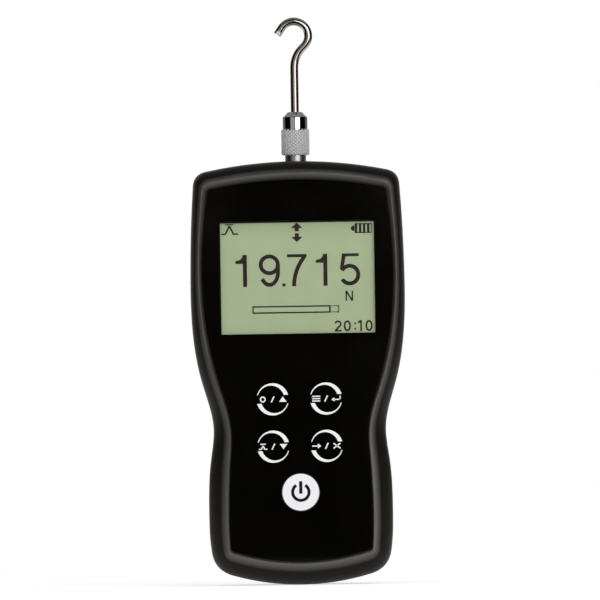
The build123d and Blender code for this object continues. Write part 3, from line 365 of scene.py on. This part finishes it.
def figure_one(x):
    """The large figure one, whose stem stands just right of x."""
    stem = x + 0.05
    flag = [(stem, FIGURE_HIGH), (x - 0.3, 6.9), (x - 1.0, 6.2), (x - 2.5, 5.9), (x - 2.5, 4.9), (stem, 4.9)]
    return [box(stem, FIGURE_LOW, x + 1.45, FIGURE_HIGH), flag]


# Nine, seven and five are one outline each: the nine's runs round bowl and tail, then in to its eye.
nine = (arc(NINE_X, EYE_Z, BOWL_ACROSS + HALF, EYE_UP + HALF, 0, 308, 36)
        + arc(NINE_X, TAIL_Z, BOWL_ACROSS - HALF, TAIL_UP - HALF, -5, -148, 28)
        + arc(NINE_X, TAIL_Z, BOWL_ACROSS + HALF, TAIL_UP + HALF, -148, 0, 28)
        + [(NINE_X + BOWL_ACROSS + HALF, EYE_Z)]
        + arc(NINE_X, EYE_Z, BOWL_ACROSS - HALF, EYE_UP - HALF, 360, 0, 36))
seven_leg = [(2.05, 6.5), (1.2, 5.3), (0.1, 3.2), (-0.7, 0.9), (-1.1, -1.2), (-1.2, FIGURE_LOW)]
seven = ([(-3.5, FIGURE_HIGH), (3.25, FIGURE_HIGH), (3.25, 7.2)]
         + ribbon(seven_leg, BIG_STROKE)
         + [(-3.5, TOP_BAR_LOW)])
five = ([(21.2, TOP_BAR_LOW), (21.2, FIGURE_HIGH), (15.45, FIGURE_HIGH), (14.62, 2.5)]
        + arc(FIVE_X, FIVE_Z, BOWL_ACROSS - HALF, FIVE_UP - HALF, 152, -150, 32)
        + arc(FIVE_X, FIVE_Z, BOWL_ACROSS + HALF, FIVE_UP + HALF, -150, 122, 32)
        + [(16.7, TOP_BAR_LOW)])
point = box(-5.2, FIGURE_LOW, -4.15, -2.05)
reading = figure_one(-18.8) + [nine, point, seven] + figure_one(8.9) + [five]

UNIT_LEFT, UNIT_RIGHT, UNIT_LOW, UNIT_HIGH = 16.45, 19.05, -8.38, -4.93
unit = [box(UNIT_LEFT, UNIT_LOW, UNIT_LEFT + UNIT_LINE, UNIT_HIGH),
        box(UNIT_RIGHT - UNIT_LINE, UNIT_LOW, UNIT_RIGHT, UNIT_HIGH),
        ribbon([(UNIT_LEFT + UNIT_LINE / 2, UNIT_HIGH), (UNIT_RIGHT - UNIT_LINE / 2, UNIT_LOW)], UNIT_SLANT)]

# The load bar: a full frame, then a dashed end.
BAR_LEFT, BAR_END, BAR_RIGHT, BAR_LOW, BAR_HIGH = -15.7, 11.3, 14.0, -12.37, -9.75
BAR_LINE, BAR_LEFT_LINE, BAR_END_LINE = 0.5, 0.45, 0.6
DASH, DASH_STEP, POST_DASH, POST_STEP = 0.4, 0.6, 0.45, 0.65
bar = [box(BAR_LEFT, BAR_LOW, BAR_END, BAR_LOW + BAR_LINE),
       box(BAR_LEFT, BAR_HIGH - BAR_LINE, BAR_END, BAR_HIGH),
       box(BAR_LEFT, BAR_LOW + BAR_LINE, BAR_LEFT + BAR_LEFT_LINE, BAR_HIGH - BAR_LINE),
       box(BAR_END - BAR_END_LINE, BAR_LOW + BAR_LINE, BAR_END, BAR_HIGH - BAR_LINE)]
for i in range(4):
    x = BAR_END + 0.25 + i * DASH_STEP
    bar += [box(x, low, x + DASH, low + DASH) for low in (BAR_LOW + 0.05, BAR_HIGH - 0.45)]
for i in range(4):
    z = BAR_LOW + 0.1 + i * POST_STEP
    bar.append(box(BAR_RIGHT - 0.25, z, BAR_RIGHT + 0.25, z + POST_DASH))

ARROW_HALF, ARROW_HEAD, ARROW_STEM_HALF = 2.0, 1.85, 0.7
arrows = []
for tip, end in ((18.8, 15.83), (12.11, 15.18)):
    neck = tip - math.copysign(ARROW_HEAD, tip - end)
    arrows += [[(0, tip), (ARROW_HALF, neck), (-ARROW_HALF, neck)],
               box(-ARROW_STEM_HALF, min(end, neck), ARROW_STEM_HALF, max(end, neck))]

CELL_LEFT, CELL_RIGHT, CELL_LOW, CELL_HIGH, CELL_LINE = 19.9, 25.8, 14.9, 18.3, 0.35
battery = [arc(CELL_LEFT, (CELL_LOW + CELL_HIGH) / 2, 1.3, 1.0, 90, 270, 12),
           box(CELL_LEFT, CELL_LOW, CELL_RIGHT, CELL_LOW + CELL_LINE),
           box(CELL_LEFT, CELL_HIGH - CELL_LINE, CELL_RIGHT, CELL_HIGH)]
for left, width in ((20.0, 0.85), (21.4, 0.85), (22.8, 0.85), (24.2, 0.85), (25.5, 0.3)):
    battery.append(box(left, CELL_LOW + CELL_LINE, left + width, CELL_HIGH - CELL_LINE))

CLOCK_LOW, CLOCK_HIGH = -18.88, -15.07


def clock_figure(kind, x):
    """One small figure of the clock, 2.4 mm wide and 3.8 mm high."""
    if kind == "0":
        return [ribbon(arc(x + 1.2, -16.98, 0.95, 1.6, 0, 360, 20), THIN_STROKE)]
    if kind == "1":
        return [box(x + 0.95, CLOCK_LOW, x + 1.55, CLOCK_HIGH),
                ribbon([(x + 0.2, -15.9), (x + 1.0, -15.4)], THIN_STROKE)]
    if kind == ":":
        return [box(x, -16.5, x + 0.6, -15.9), box(x, -18.3, x + 0.6, -17.7)]
    return [ribbon(arc(x + 1.2, -16.3, 0.95, 0.92, 165, -35, 14), THIN_STROKE),
            ribbon([(x + 2.0, -16.8), (x + 0.4, -18.4)], THIN_STROKE),
            box(x + 0.1, CLOCK_LOW, x + 2.4, -18.33)]


clock = (clock_figure("2", 12.5) + clock_figure("0", 15.7) + clock_figure(":", 19.3)
         + clock_figure("1", 20.4) + clock_figure("0", 23.2))
peak_sign = [ribbon([(-26.0, 15.2), (-24.6, 15.2), (-23.6, 17.2), (-23.2, 18.0)], THIN_STROKE),
             ribbon([(-23.2, 18.0), (-22.8, 17.2), (-21.8, 15.2), (-20.2, 15.2)], THIN_STROKE),
             box(-24.6, 18.25, -21.8, 18.65)]
marks = reading + unit + bar + arrows + battery + clock + peak_sign
marks = [[(x, z + DISPLAY_CENTRE) for x, z in outline] for outline in marks]
print_shapes("display_picture", marks, GLASS_FRONT + PICTURE_SUNK, PICTURE_THICKNESS, dark_crystal,
             "case")


# Glossy overlay and window
# A polycarbonate sheet, printed black from behind, lies in the front's sunk seat. Its window is
# clear, and the keys stand in round holes.

WINDOW_BACK = -33.8
INK, EDGE_SHADOW_GAP = 0.03, 0.02

# Gloss polycarbonate over black print: near black, with a polish that varies a little. The four dark
# keys have the same gloss.
overlay_black, place = new_material("back_printed_polycarbonate")
ripple = add_node(overlay_black, "ShaderNodeTexNoise", {
    "Vector": place, "Scale": 1 / (18 * MM), "Detail": 2.0}).outputs[0]
black = add_node(overlay_black, "ShaderNodeMix", {
    0: ripple, 6: linear("#020201"), 7: linear("#050402")}, data_type="RGBA").outputs[2]
polish = add_node(overlay_black, "ShaderNodeMapRange", {
    "Value": ripple, "To Min": 0.04, "To Max": 0.09}).outputs[0]
overlay_shader = add_node(overlay_black, "ShaderNodeBsdfPrincipled", {
    "Base Color": black, "Roughness": polish, "Specular IOR Level": 0.5})
KEY_NODES = [f"{name}_key" for name in ("zero", "menu", "peak", "send")]
put_on(overlay_black, overlay_shader, "front_overlay", *KEY_NODES)

# Clear polycarbonate: almost colourless. Lamplight goes straight through it to the display.
window_clear, place = new_material("clear_polycarbonate_window")
haze = add_node(window_clear, "ShaderNodeTexNoise", {
    "Vector": place, "Scale": 1 / (10 * MM), "Detail": 2.0}).outputs[0]
clear_polish = add_node(window_clear, "ShaderNodeMapRange", {
    "Value": haze, "To Min": 0.0, "To Max": 0.03}).outputs[0]
sheet = add_node(window_clear, "ShaderNodeBsdfPrincipled", {
    "Base Color": linear("#fbfdf8"), "Roughness": clear_polish, "IOR": 1.5,
    "Transmission Weight": 1.0}).outputs[0]
light_passes = add_node(window_clear, "ShaderNodeBsdfTransparent", {"Color": linear("#f4f6f1")}).outputs[0]
rays = add_node(window_clear, "ShaderNodeLightPath").outputs
light_ray = add_node(window_clear, "ShaderNodeMath", {
    0: rays["Is Shadow Ray"], 1: rays["Is Diffuse Ray"]}, operation="MAXIMUM").outputs[0]
put_on(window_clear, add_node(window_clear, "ShaderNodeMixShader", {0: light_ray, 1: sheet, 2: light_passes}),
       "display_window")


# Black strips behind the sheet, drawn as the overlay's print running a little way over the window's edges,
# are painted shadow where those edges shade the sunk display. The top strip is the widest.
edge_shadow_black, place = new_material("black_painted_window_edge_shadow")
put_on(edge_shadow_black, add_node(edge_shadow_black, "ShaderNodeBsdfPrincipled", {
    "Base Color": mottled(edge_shadow_black, place, 1.5, "#030303", "#080808"),
    "Roughness": 0.5, "Specular IOR Level": 0.2}))
HALF_WIDE, HALF_HIGH = 26.8, 19.6
# How far the painted shadow reaches in from the window's top, left, right and foot, in mm.
EDGE_SHADOW_TOP, EDGE_SHADOW_LEFT, EDGE_SHADOW_RIGHT, EDGE_SHADOW_FOOT = 0.7, 0.4, 0.25, 0.25
edge_shadow_strips = [box(-HALF_WIDE, HALF_HIGH - EDGE_SHADOW_TOP, HALF_WIDE, HALF_HIGH),
          box(-HALF_WIDE, -HALF_HIGH, -HALF_WIDE + EDGE_SHADOW_LEFT, HALF_HIGH),
          box(HALF_WIDE - EDGE_SHADOW_RIGHT, -HALF_HIGH, HALF_WIDE, HALF_HIGH),
          box(-HALF_WIDE, -HALF_HIGH, HALF_WIDE, -HALF_HIGH + EDGE_SHADOW_FOOT)]
print_shapes("window_edge_painted_shadow", [[(x, z + DISPLAY_CENTRE) for x, z in shape] for shape in edge_shadow_strips],
             WINDOW_BACK + EDGE_SHADOW_GAP + INK, INK, edge_shadow_black, "case")


# Keys and their printed signs
# The four dark keys carry two white crescents each, with small signs between them, and the white
# power key carries a black power sign. The ink is screen-printed.

KEY_FACE = -34.8
KEY_PLACES = {"zero": (-9.2, -38.0), "menu": (9.2, -38.0), "peak": (-9.2, -54.3), "send": (9.2, -54.3)}
POWER_PLACE = (0.0, -70.1)
RING_RADIUS = 5.55
RING_GAP = 1.5
SIGN_STROKE = 0.42
DISC_RADIUS, DISC_BLUR = 6.28, 0.1
POWER_RADIUS, POWER_STROKE, POWER_GAP = 2.82, 1.05, 33

# White screen ink: opaque, satin and very slightly speckled.
white_ink, place = new_material("screen_printed_white_ink")
put_on(white_ink, add_node(white_ink, "ShaderNodeBsdfPrincipled", {
    "Base Color": mottled(white_ink, place, 0.6, "#f2f1f0", "#fbfbfa"), "Roughness": 0.45}))

# The power key is moulded in white ABS, with a soft gloss.
# Its bevelled edge is black, like the other keys.
white_key, white_key_shader = moulded_plastic(
    "moulded_white_abs_key", "#f3f3f6", "#f9f9fb", 0.35, 0.6, 0.05)
key_place = add_node(white_key, "ShaderNodeTexCoord").outputs["Object"]
off_centre = add_node(white_key, "ShaderNodeVectorMath", {
    0: key_place, 1: (POWER_PLACE[0] * MM, 0, POWER_PLACE[1] * MM)}, operation="SUBTRACT").outputs["Vector"]
off_centre = add_node(white_key, "ShaderNodeVectorMath", {
    0: off_centre, 1: (1, 0, 1)}, operation="MULTIPLY").outputs["Vector"]
off_centre = add_node(white_key, "ShaderNodeVectorMath", {0: off_centre}, operation="LENGTH").outputs["Value"]
edge = add_node(white_key, "ShaderNodeMapRange", {
    "Value": off_centre, "From Min": DISC_RADIUS * MM, "From Max": (DISC_RADIUS + DISC_BLUR) * MM}).outputs[0]
retouch(white_key, white_key_shader, edge, "#060606")
put_on(white_key, white_key_shader, "power_key")


def crescent(side):
    """A half ring that is thin at one end and thick at the other, cut level above or below the signs."""
    inner, shift = RING_RADIUS - 0.9, (-0.6 * side, 0.1 * side)
    outer_end = math.degrees(math.asin(RING_GAP / RING_RADIUS))
    inner_end = math.degrees(math.asin((RING_GAP - abs(shift[1])) / inner))
    turn = 0 if side > 0 else 180
    outer = arc(0, 0, RING_RADIUS, RING_RADIUS, turn + outer_end, turn + 180 - outer_end, 32)
    inside = arc(shift[0], shift[1], inner, inner, turn + 180 - inner_end, turn + inner_end, 32)
    return outer + inside


SIGNS = {
    "zero": [ribbon(arc(-3.4, 0, 0.8, 0.85, 0, 360, 20), SIGN_STROKE),
             [(2.2, -0.9), (4.8, -0.9), (3.5, 0.95)]],
    "menu": [box(-4.8, 0.62, -2.0, 1.0), box(-4.8, -0.19, -2.0, 0.19), box(-4.8, -1.0, -2.0, -0.62),
             box(2.6, -0.55, 5.0, -0.15), box(4.6, -0.55, 5.0, 0.95),
             [(1.8, -0.35), (2.9, 0.4), (2.9, -1.1)]],
    "peak": [ribbon([(-5.0, -0.85), (-4.1, -0.85), (-3.5, 0.55)], SIGN_STROKE),
             ribbon([(-3.6, 0.55), (-3.0, -0.85), (-2.1, -0.85)], SIGN_STROKE), box(-4.5, 0.7, -2.6, 1.05),
             [(2.2, 0.9), (4.8, 0.9), (3.5, -0.95)]],
    "send": [box(-5.0, -0.2, -3.0, 0.2), [(-1.9, 0.0), (-3.1, 0.85), (-3.1, -0.85)],
             ribbon([(2.3, -0.9), (4.7, 0.9)], SIGN_STROKE), ribbon([(2.3, 0.9), (4.7, -0.9)], SIGN_STROKE)]}
for name, (key_x, key_z) in KEY_PLACES.items():
    shapes = [crescent(1), crescent(-1), ribbon([(-0.5, -1.05), (0.5, 1.05)], SIGN_STROKE)] + SIGNS[name]
    shapes = [[(x + key_x, z + key_z) for x, z in outline] for outline in shapes]
    print_shapes(f"{name}_key_signs", shapes, KEY_FACE, INK, white_ink, f"{name}_key")

# Black screen ink: dull and very slightly speckled.
black_ink, place = new_material("screen_printed_black_ink")
put_on(black_ink, add_node(black_ink, "ShaderNodeBsdfPrincipled", {
    "Base Color": mottled(black_ink, place, 0.6, "#080808", "#101010"),
    "Roughness": 0.6, "Specular IOR Level": 0.15}))
power_ring = arc(0, 0, POWER_RADIUS, POWER_RADIUS, 90 + POWER_GAP, 450 - POWER_GAP, 44)
power_sign = [ribbon(power_ring, POWER_STROKE), box(-0.55, -0.5, 0.55, 3.75)]
power_sign = [[(x + POWER_PLACE[0], z + POWER_PLACE[1]) for x, z in outline] for outline in power_sign]
print_shapes("power_key_sign", power_sign, KEY_FACE, INK, black_ink, "power_key")


# Ferrule, swivel washer and nut
# The ferrule is turned brass, plated in chrome. Its band has a rolled diamond knurl to grip, its
# neck is polished, and the hook's wire turns in its countersunk hole.

AXIS_Y = -16.0
KNURL_ROUND = 44
KNURL_ROWS = 14
KNURL_DEPTH = 0.38
KNURL_SHADE_RADIUS, KNURL_HIGHLIGHT_RADIUS = 4.6, 4.9
KNURL_SKIN_RADIUS, KNURL_SKIN_BELOW, KNURL_SKIN_ABOVE = 4.4, 0.6, 0.2
BAND_LOW, BAND_HIGH, BAND_RADIUS = 46.7, 54.8, 4.95
FERRULE_FOOT, FOOT_RADIUS = 46.2, 4.45
BORE_RADIUS, BORE_TOP = 3.02, 57.2
NECK_RADIUS, NECK_TOP, NECK_END_RADIUS = 4.35, 61.1, 2.6
MOUTH_RADIUS, WIRE_HOLE_RADIUS = 2.1, 1.5

# Polished chrome plate: mirror bright, a little blue, with faint wiping marks.
bright_chrome, chrome_shader = worked_metal(
    "polished_chrome_plate", "#c4c6c8", "#dadcde", 0.07, 0.3, (0.2, 0.2, 1), 0.05)
put_on(bright_chrome, chrome_shader)
# Satin stainless steel, for the washer and the nut that keep the hook in.
put_on(*worked_metal("stamped_stainless_washer", "#b8b6b2", "#cdcbc7", 0.25, 0.3, (1, 1, 1)),
       "swivel_washer", "hook_nut")


# Satin chrome over the rolled knurl, with a painted highlight pale on the ridges that varies at random, and
# painted shade dark in the cuts.
knurled_chrome, place = new_material("satin_chrome_on_rolled_knurl")
across = add_node(knurled_chrome, "ShaderNodeVectorMath", {
    0: place, 1: (0, AXIS_Y * MM, 0)}, operation="SUBTRACT").outputs["Vector"]
across = add_node(knurled_chrome, "ShaderNodeVectorMath", {0: across, 1: (1, 1, 0)}, operation="MULTIPLY")
height_on_ridge = add_node(knurled_chrome, "ShaderNodeVectorMath", {
    0: across.outputs["Vector"]}, operation="LENGTH").outputs["Value"]
ridge_highlight = add_node(knurled_chrome, "ShaderNodeMapRange", {
    "Value": height_on_ridge, "From Min": KNURL_SHADE_RADIUS * MM, "From Max": KNURL_HIGHLIGHT_RADIUS * MM}).outputs[0]
random_patchiness = add_node(knurled_chrome, "ShaderNodeTexNoise", {
    "Vector": place, "Scale": 1 / (0.5 * MM), "Detail": 2.0}).outputs[0]
ridge_highlight_and_patchiness = add_node(knurled_chrome, "ShaderNodeMath", {0: ridge_highlight, 1: random_patchiness}, operation="MULTIPLY_ADD")
ridge_highlight_and_patchiness.inputs[2].default_value = 0.5
knurl_painted_light = add_node(knurled_chrome, "ShaderNodeMix", {
    0: ridge_highlight_and_patchiness.outputs[0], 6: linear("#5c5d5f"), 7: linear("#f4f4f5")}, data_type="RGBA").outputs[2]
put_on(knurled_chrome, add_node(knurled_chrome, "ShaderNodeBsdfPrincipled", {
    "Base Color": knurl_painted_light, "Metallic": 0.25, "Roughness": 0.36}))


def lathe(name, profile, segments):
    """A piece turned on the hook's axis: a ring drawn along radii and heights, in mm, and closed."""
    bpy.ops.object.select_all(action="DESELECT")
    radius, height = profile[0]
    bpy.ops.mesh.primitive_circle_add(
        vertices=segments, radius=radius * MM, location=(0, AXIS_Y * MM, height * MM))
    piece = bpy.context.object
    piece.name = name
    bpy.ops.object.transform_apply(location=True, rotation=True, scale=True)
    bpy.ops.object.mode_set(mode="EDIT")
    bpy.ops.mesh.select_all(action="SELECT")
    for next_radius, next_height in profile[1:] + profile[:1]:
        bpy.ops.mesh.extrude_edges_move(
            TRANSFORM_OT_translate={"value": (0, 0, (next_height - height) * MM)})
        bpy.ops.transform.resize(
            value=(next_radius / radius, next_radius / radius, 1),
            center_override=(0, AXIS_Y * MM, next_height * MM))
        radius, height = next_radius, next_height
    bpy.ops.mesh.select_all(action="SELECT")
    bpy.ops.mesh.remove_doubles(threshold=0.0005 * MM)
    bpy.ops.mesh.normals_make_consistent(inside=False)
    bpy.ops.object.mode_set(mode="OBJECT")
    return piece


knurl_rows = [(BAND_RADIUS, BAND_LOW + (BAND_HIGH - BAND_LOW) * i / KNURL_ROWS)
              for i in range(KNURL_ROWS + 1)]
ferrule_profile = [(BORE_RADIUS, FERRULE_FOOT), (FOOT_RADIUS, FERRULE_FOOT)] + knurl_rows + [
    (4.55, 55.15), (NECK_RADIUS, 55.3), (NECK_RADIUS, 59.25), (4.3, 59.42), (2.75, 60.97),
    (NECK_END_RADIUS, NECK_TOP), (MOUTH_RADIUS, NECK_TOP), (WIRE_HOLE_RADIUS, 60.5),
    (WIRE_HOLE_RADIUS, BORE_TOP), (BORE_RADIUS, BORE_TOP)]
ferrule = lathe("knurled_ferrule", ferrule_profile, KNURL_ROUND)
row_height = (BAND_HIGH - BAND_LOW) / KNURL_ROWS
for corner in ferrule.data.vertices:
    out = Vector((corner.co.x, corner.co.y - AXIS_Y * MM))
    level = (corner.co.z / MM - BAND_LOW) / row_height
    if out.length > (BAND_RADIUS - 0.01) * MM:
        column = round(math.atan2(out.y, out.x) / (2 * math.pi) * KNURL_ROUND)
        if (column + round(level)) % 2 == 0:
            corner.co.x -= out.x / out.length * KNURL_DEPTH * MM
            corner.co.y -= out.y / out.length * KNURL_DEPTH * MM
bpy.ops.object.mode_set(mode="EDIT")
bpy.ops.mesh.select_all(action="SELECT")
bpy.ops.mesh.quads_convert_to_tris(quad_method="SHORTEST_DIAGONAL")
bpy.ops.object.mode_set(mode="OBJECT")
bpy.ops.object.shade_smooth_by_angle(angle=math.radians(14))
ferrule.data.materials.append(bright_chrome)
ferrule.data.materials.append(knurled_chrome)
for face in ferrule.data.polygons:
    out = Vector((face.center.x, face.center.y - AXIS_Y * MM)).length
    height = face.center.z / MM
    if out > KNURL_SKIN_RADIUS * MM and BAND_LOW - KNURL_SKIN_BELOW < height < BAND_HIGH + KNURL_SKIN_ABOVE:
        face.material_index = 1
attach(ferrule, "ferrule")
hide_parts("hook_ferrule")


# Hook
# A steel wire, bent cold into a swan neck and an open bowl, and chrome-plated. It stands in the
# ferrule and turns freely there.

WIRE_RADIUS = 1.4
HIGHLIGHT_SPOT = (-5.37 * MM, (AXIS_Y - WIRE_RADIUS) * MM, 88.37 * MM)
SPOT_RADIUS, SPOT_CORE = 0.95, 0.7

# Chrome plate on drawn wire: warm grey and bright, with faint marks round its shank. A paler, duller spot on
# its front, next to the cut end, is a painted highlight.
hook_chrome, hook_shader = worked_metal(
    "chrome_plated_hook_wire", "#a29d97", "#bcb6ae", 0.12, 0.4, (0.3, 0.3, 1), 0.05)
wire_place = add_node(hook_chrome, "ShaderNodeTexCoord").outputs["Object"]
from_spot = add_node(hook_chrome, "ShaderNodeVectorMath", {
    0: wire_place, 1: HIGHLIGHT_SPOT}, operation="DISTANCE").outputs["Value"]
# The spot's paler steel is a painted highlight on the wire's front.
highlight_spot_mask = add_node(hook_chrome, "ShaderNodeMapRange", {
    "Value": from_spot, "From Min": SPOT_RADIUS * MM, "From Max": SPOT_CORE * MM}).outputs[0]
painted_highlight_steel = add_node(hook_chrome, "ShaderNodeBsdfPrincipled", {
    "Base Color": linear("#d8d6d2"), "Metallic": 0.3, "Roughness": 0.4})
hook_surface = add_node(hook_chrome, "ShaderNodeMixShader", {
    0: highlight_spot_mask, 1: hook_shader.outputs[0], 2: painted_highlight_steel.outputs[0]})
put_on(hook_chrome, hook_surface, "hook")
joined_copy("hook", 40)


# Floor, lights and camera
# A pale table under two soft boxes. Black cards stand round the front so that the gloss stays black,
# and grey screens stand behind at the sides and overhead for the metal to mirror.

FLOOR_Z = -102.0
FLOOR_RADIUS, FADE_START, FADE_END = 1.4, 0.2, 0.9
SOFT_BOX_DISTANCE, SOFT_BOX_WIDTH, SOFT_BOX_HEIGHT = 1.5, 1.1, 1.3
VIEW_HEIGHT = 0.2078
CAMERA_DISTANCE = 6.0
CAMERA_DROP = math.radians(0.4)
CAMERA_ROLL = math.radians(-0.9)
AIM_RIGHT, AIM_UP = 0.75, -3.7


def seen_directly(material):
    """One for what the camera, a mirror or clear glass sees, and nought for light on matt surfaces."""
    rays = add_node(material, "ShaderNodeLightPath").outputs
    seen = add_node(material, "ShaderNodeMath", {
        0: rays["Is Camera Ray"], 1: rays["Is Glossy Ray"]}, operation="MAXIMUM").outputs[0]
    return add_node(material, "ShaderNodeMath", {
        0: seen, 1: rays["Is Transmission Ray"]}, operation="MAXIMUM").outputs[0]


bpy.ops.object.select_all(action="DESELECT")
bpy.ops.mesh.primitive_circle_add(
    vertices=96, radius=FLOOR_RADIUS, fill_type="NGON", location=(0, 0, FLOOR_Z * MM))
floor = bpy.context.object
floor.name = "table_top"
# Pale matt paint, which fades out into the white all round.
pale_floor, place = new_material("pale_painted_table")
far = add_node(pale_floor, "ShaderNodeVectorMath", {0: place}, operation="LENGTH").outputs["Value"]
fade = add_node(pale_floor, "ShaderNodeMapRange", {
    "Value": far, "From Min": FADE_START, "From Max": FADE_END}).outputs[0]
paint = add_node(pale_floor, "ShaderNodeBsdfDiffuse", {"Color": linear("#f4f4f4")}).outputs[0]
lift = add_node(pale_floor, "ShaderNodeMath", {
    0: seen_directly(pale_floor), 1: 0.5}, operation="MULTIPLY").outputs[0]
glow = add_node(pale_floor, "ShaderNodeEmission", {"Strength": lift}).outputs[0]
lit_paint = add_node(pale_floor, "ShaderNodeAddShader", {0: paint, 1: glow}).outputs[0]
clear = add_node(pale_floor, "ShaderNodeBsdfTransparent").outputs[0]
put_on(pale_floor, add_node(pale_floor, "ShaderNodeMixShader", {0: fade, 1: lit_paint, 2: clear}))
floor.data.materials.append(pale_floor)

# Black felt and two greys of lit cloth, which show only in what the gauge mirrors or lets through.
# Each card has its centre in metres, its turn in degrees, its size in metres and its cloth.
flag_black = new_material("black_felt_flag")[0]
put_on(flag_black, add_node(flag_black, "ShaderNodeBsdfDiffuse", {"Color": linear("#0c0c0c")}))
screen_grey = new_material("grey_side_screen")[0]
put_on(screen_grey, add_node(screen_grey, "ShaderNodeEmission", {"Color": linear("#707070")}))
ceiling_grey = new_material("grey_overhead_screen")[0]
put_on(ceiling_grey, add_node(ceiling_grey, "ShaderNodeEmission", {"Color": linear("#909090")}))
CARDS = [((0, -2.7, 0.5), (90, 0, 0), (3.4, 2.4), flag_black),
         ((-1.7, -1.1, 0.5), (90, 0, 90), (3.2, 2.4), flag_black),
         ((1.7, -1.1, 0.5), (90, 0, 90), (3.2, 2.4), flag_black),
         ((-1.7, 1.75, 0.5), (90, 0, 90), (2.5, 2.4), screen_grey),
         ((1.7, 1.75, 0.5), (90, 0, 90), (2.5, 2.4), screen_grey),
         ((0, -1.75, 1.7), (0, 0, 0), (3.4, 1.9), flag_black),
         ((0, 1.1, 1.7), (0, 0, 0), (3.4, 3.8), ceiling_grey),
         ((0, -1.42, -0.095), (0, 0, 0), (3.4, 2.56), flag_black)]
for number, (centre, turn, size, cloth) in enumerate(CARDS):
    bpy.ops.object.select_all(action="DESELECT")
    bpy.ops.mesh.primitive_plane_add(size=1, location=centre, rotation=[math.radians(a) for a in turn])
    card = bpy.context.object
    card.scale = (size[0], size[1], 1)
    card.name = f"studio_card_{number + 1}"
    card.data.materials.append(cloth)
    card.visible_camera = card.visible_diffuse = card.visible_shadow = False


def soft_box(name, azimuth, elevation, radiance):
    """A soft box that faces the gauge, at an azimuth right of the front and an elevation, in degrees."""
    side, rise = math.radians(azimuth), math.radians(elevation)
    lamp = bpy.data.lights.new(name, "AREA")
    lamp.shape, lamp.size, lamp.size_y = "RECTANGLE", SOFT_BOX_WIDTH, SOFT_BOX_HEIGHT
    lamp.energy = radiance * math.pi * SOFT_BOX_WIDTH * SOFT_BOX_HEIGHT
    stand = bpy.data.objects.new(name, lamp)
    stand.location = SOFT_BOX_DISTANCE * Vector((
        math.sin(side) * math.cos(rise), -math.cos(side) * math.cos(rise), math.sin(rise)))
    stand.rotation_mode = "QUATERNION"
    stand.rotation_quaternion = stand.location.to_track_quat("Z", "Y")
    stand.visible_camera = False
    bpy.context.scene.collection.objects.link(stand)


soft_box("key_light", 23, 10, 2.7)
soft_box("fill_light", -22, 10, 0.4)

world = bpy.data.worlds.new("white_studio")
bpy.context.scene.world = world
world.use_nodes = True
world.node_tree.nodes.clear()
level = add_node(world, "ShaderNodeMapRange", {
    "Value": seen_directly(world), "To Min": 0.5, "To Max": 1.0}).outputs[0]
sky = add_node(world, "ShaderNodeBackground", {"Color": linear("#ffffff"), "Strength": level})
add_node(world, "ShaderNodeOutputWorld", {"Surface": sky.outputs[0]})

aim = Vector((AIM_RIGHT * MM, 0, AIM_UP * MM))
camera_data = bpy.data.cameras.new("camera")
camera = bpy.data.objects.new("camera", camera_data)
bpy.context.scene.collection.objects.link(camera)
camera_data.sensor_width = 36
camera_data.lens = camera_data.sensor_width * CAMERA_DISTANCE / VIEW_HEIGHT
camera.location = aim + CAMERA_DISTANCE * Vector((0, -math.cos(CAMERA_DROP), -math.sin(CAMERA_DROP)))
camera.rotation_mode = "QUATERNION"
camera.rotation_quaternion = ((camera.location - aim).to_track_quat("Z", "Y")
                              @ Quaternion((0, 0, 1), CAMERA_ROLL))
bpy.context.scene.camera = camera
bpy.context.scene.view_settings.view_transform = "Standard"

bpy.context.view_layer.update()
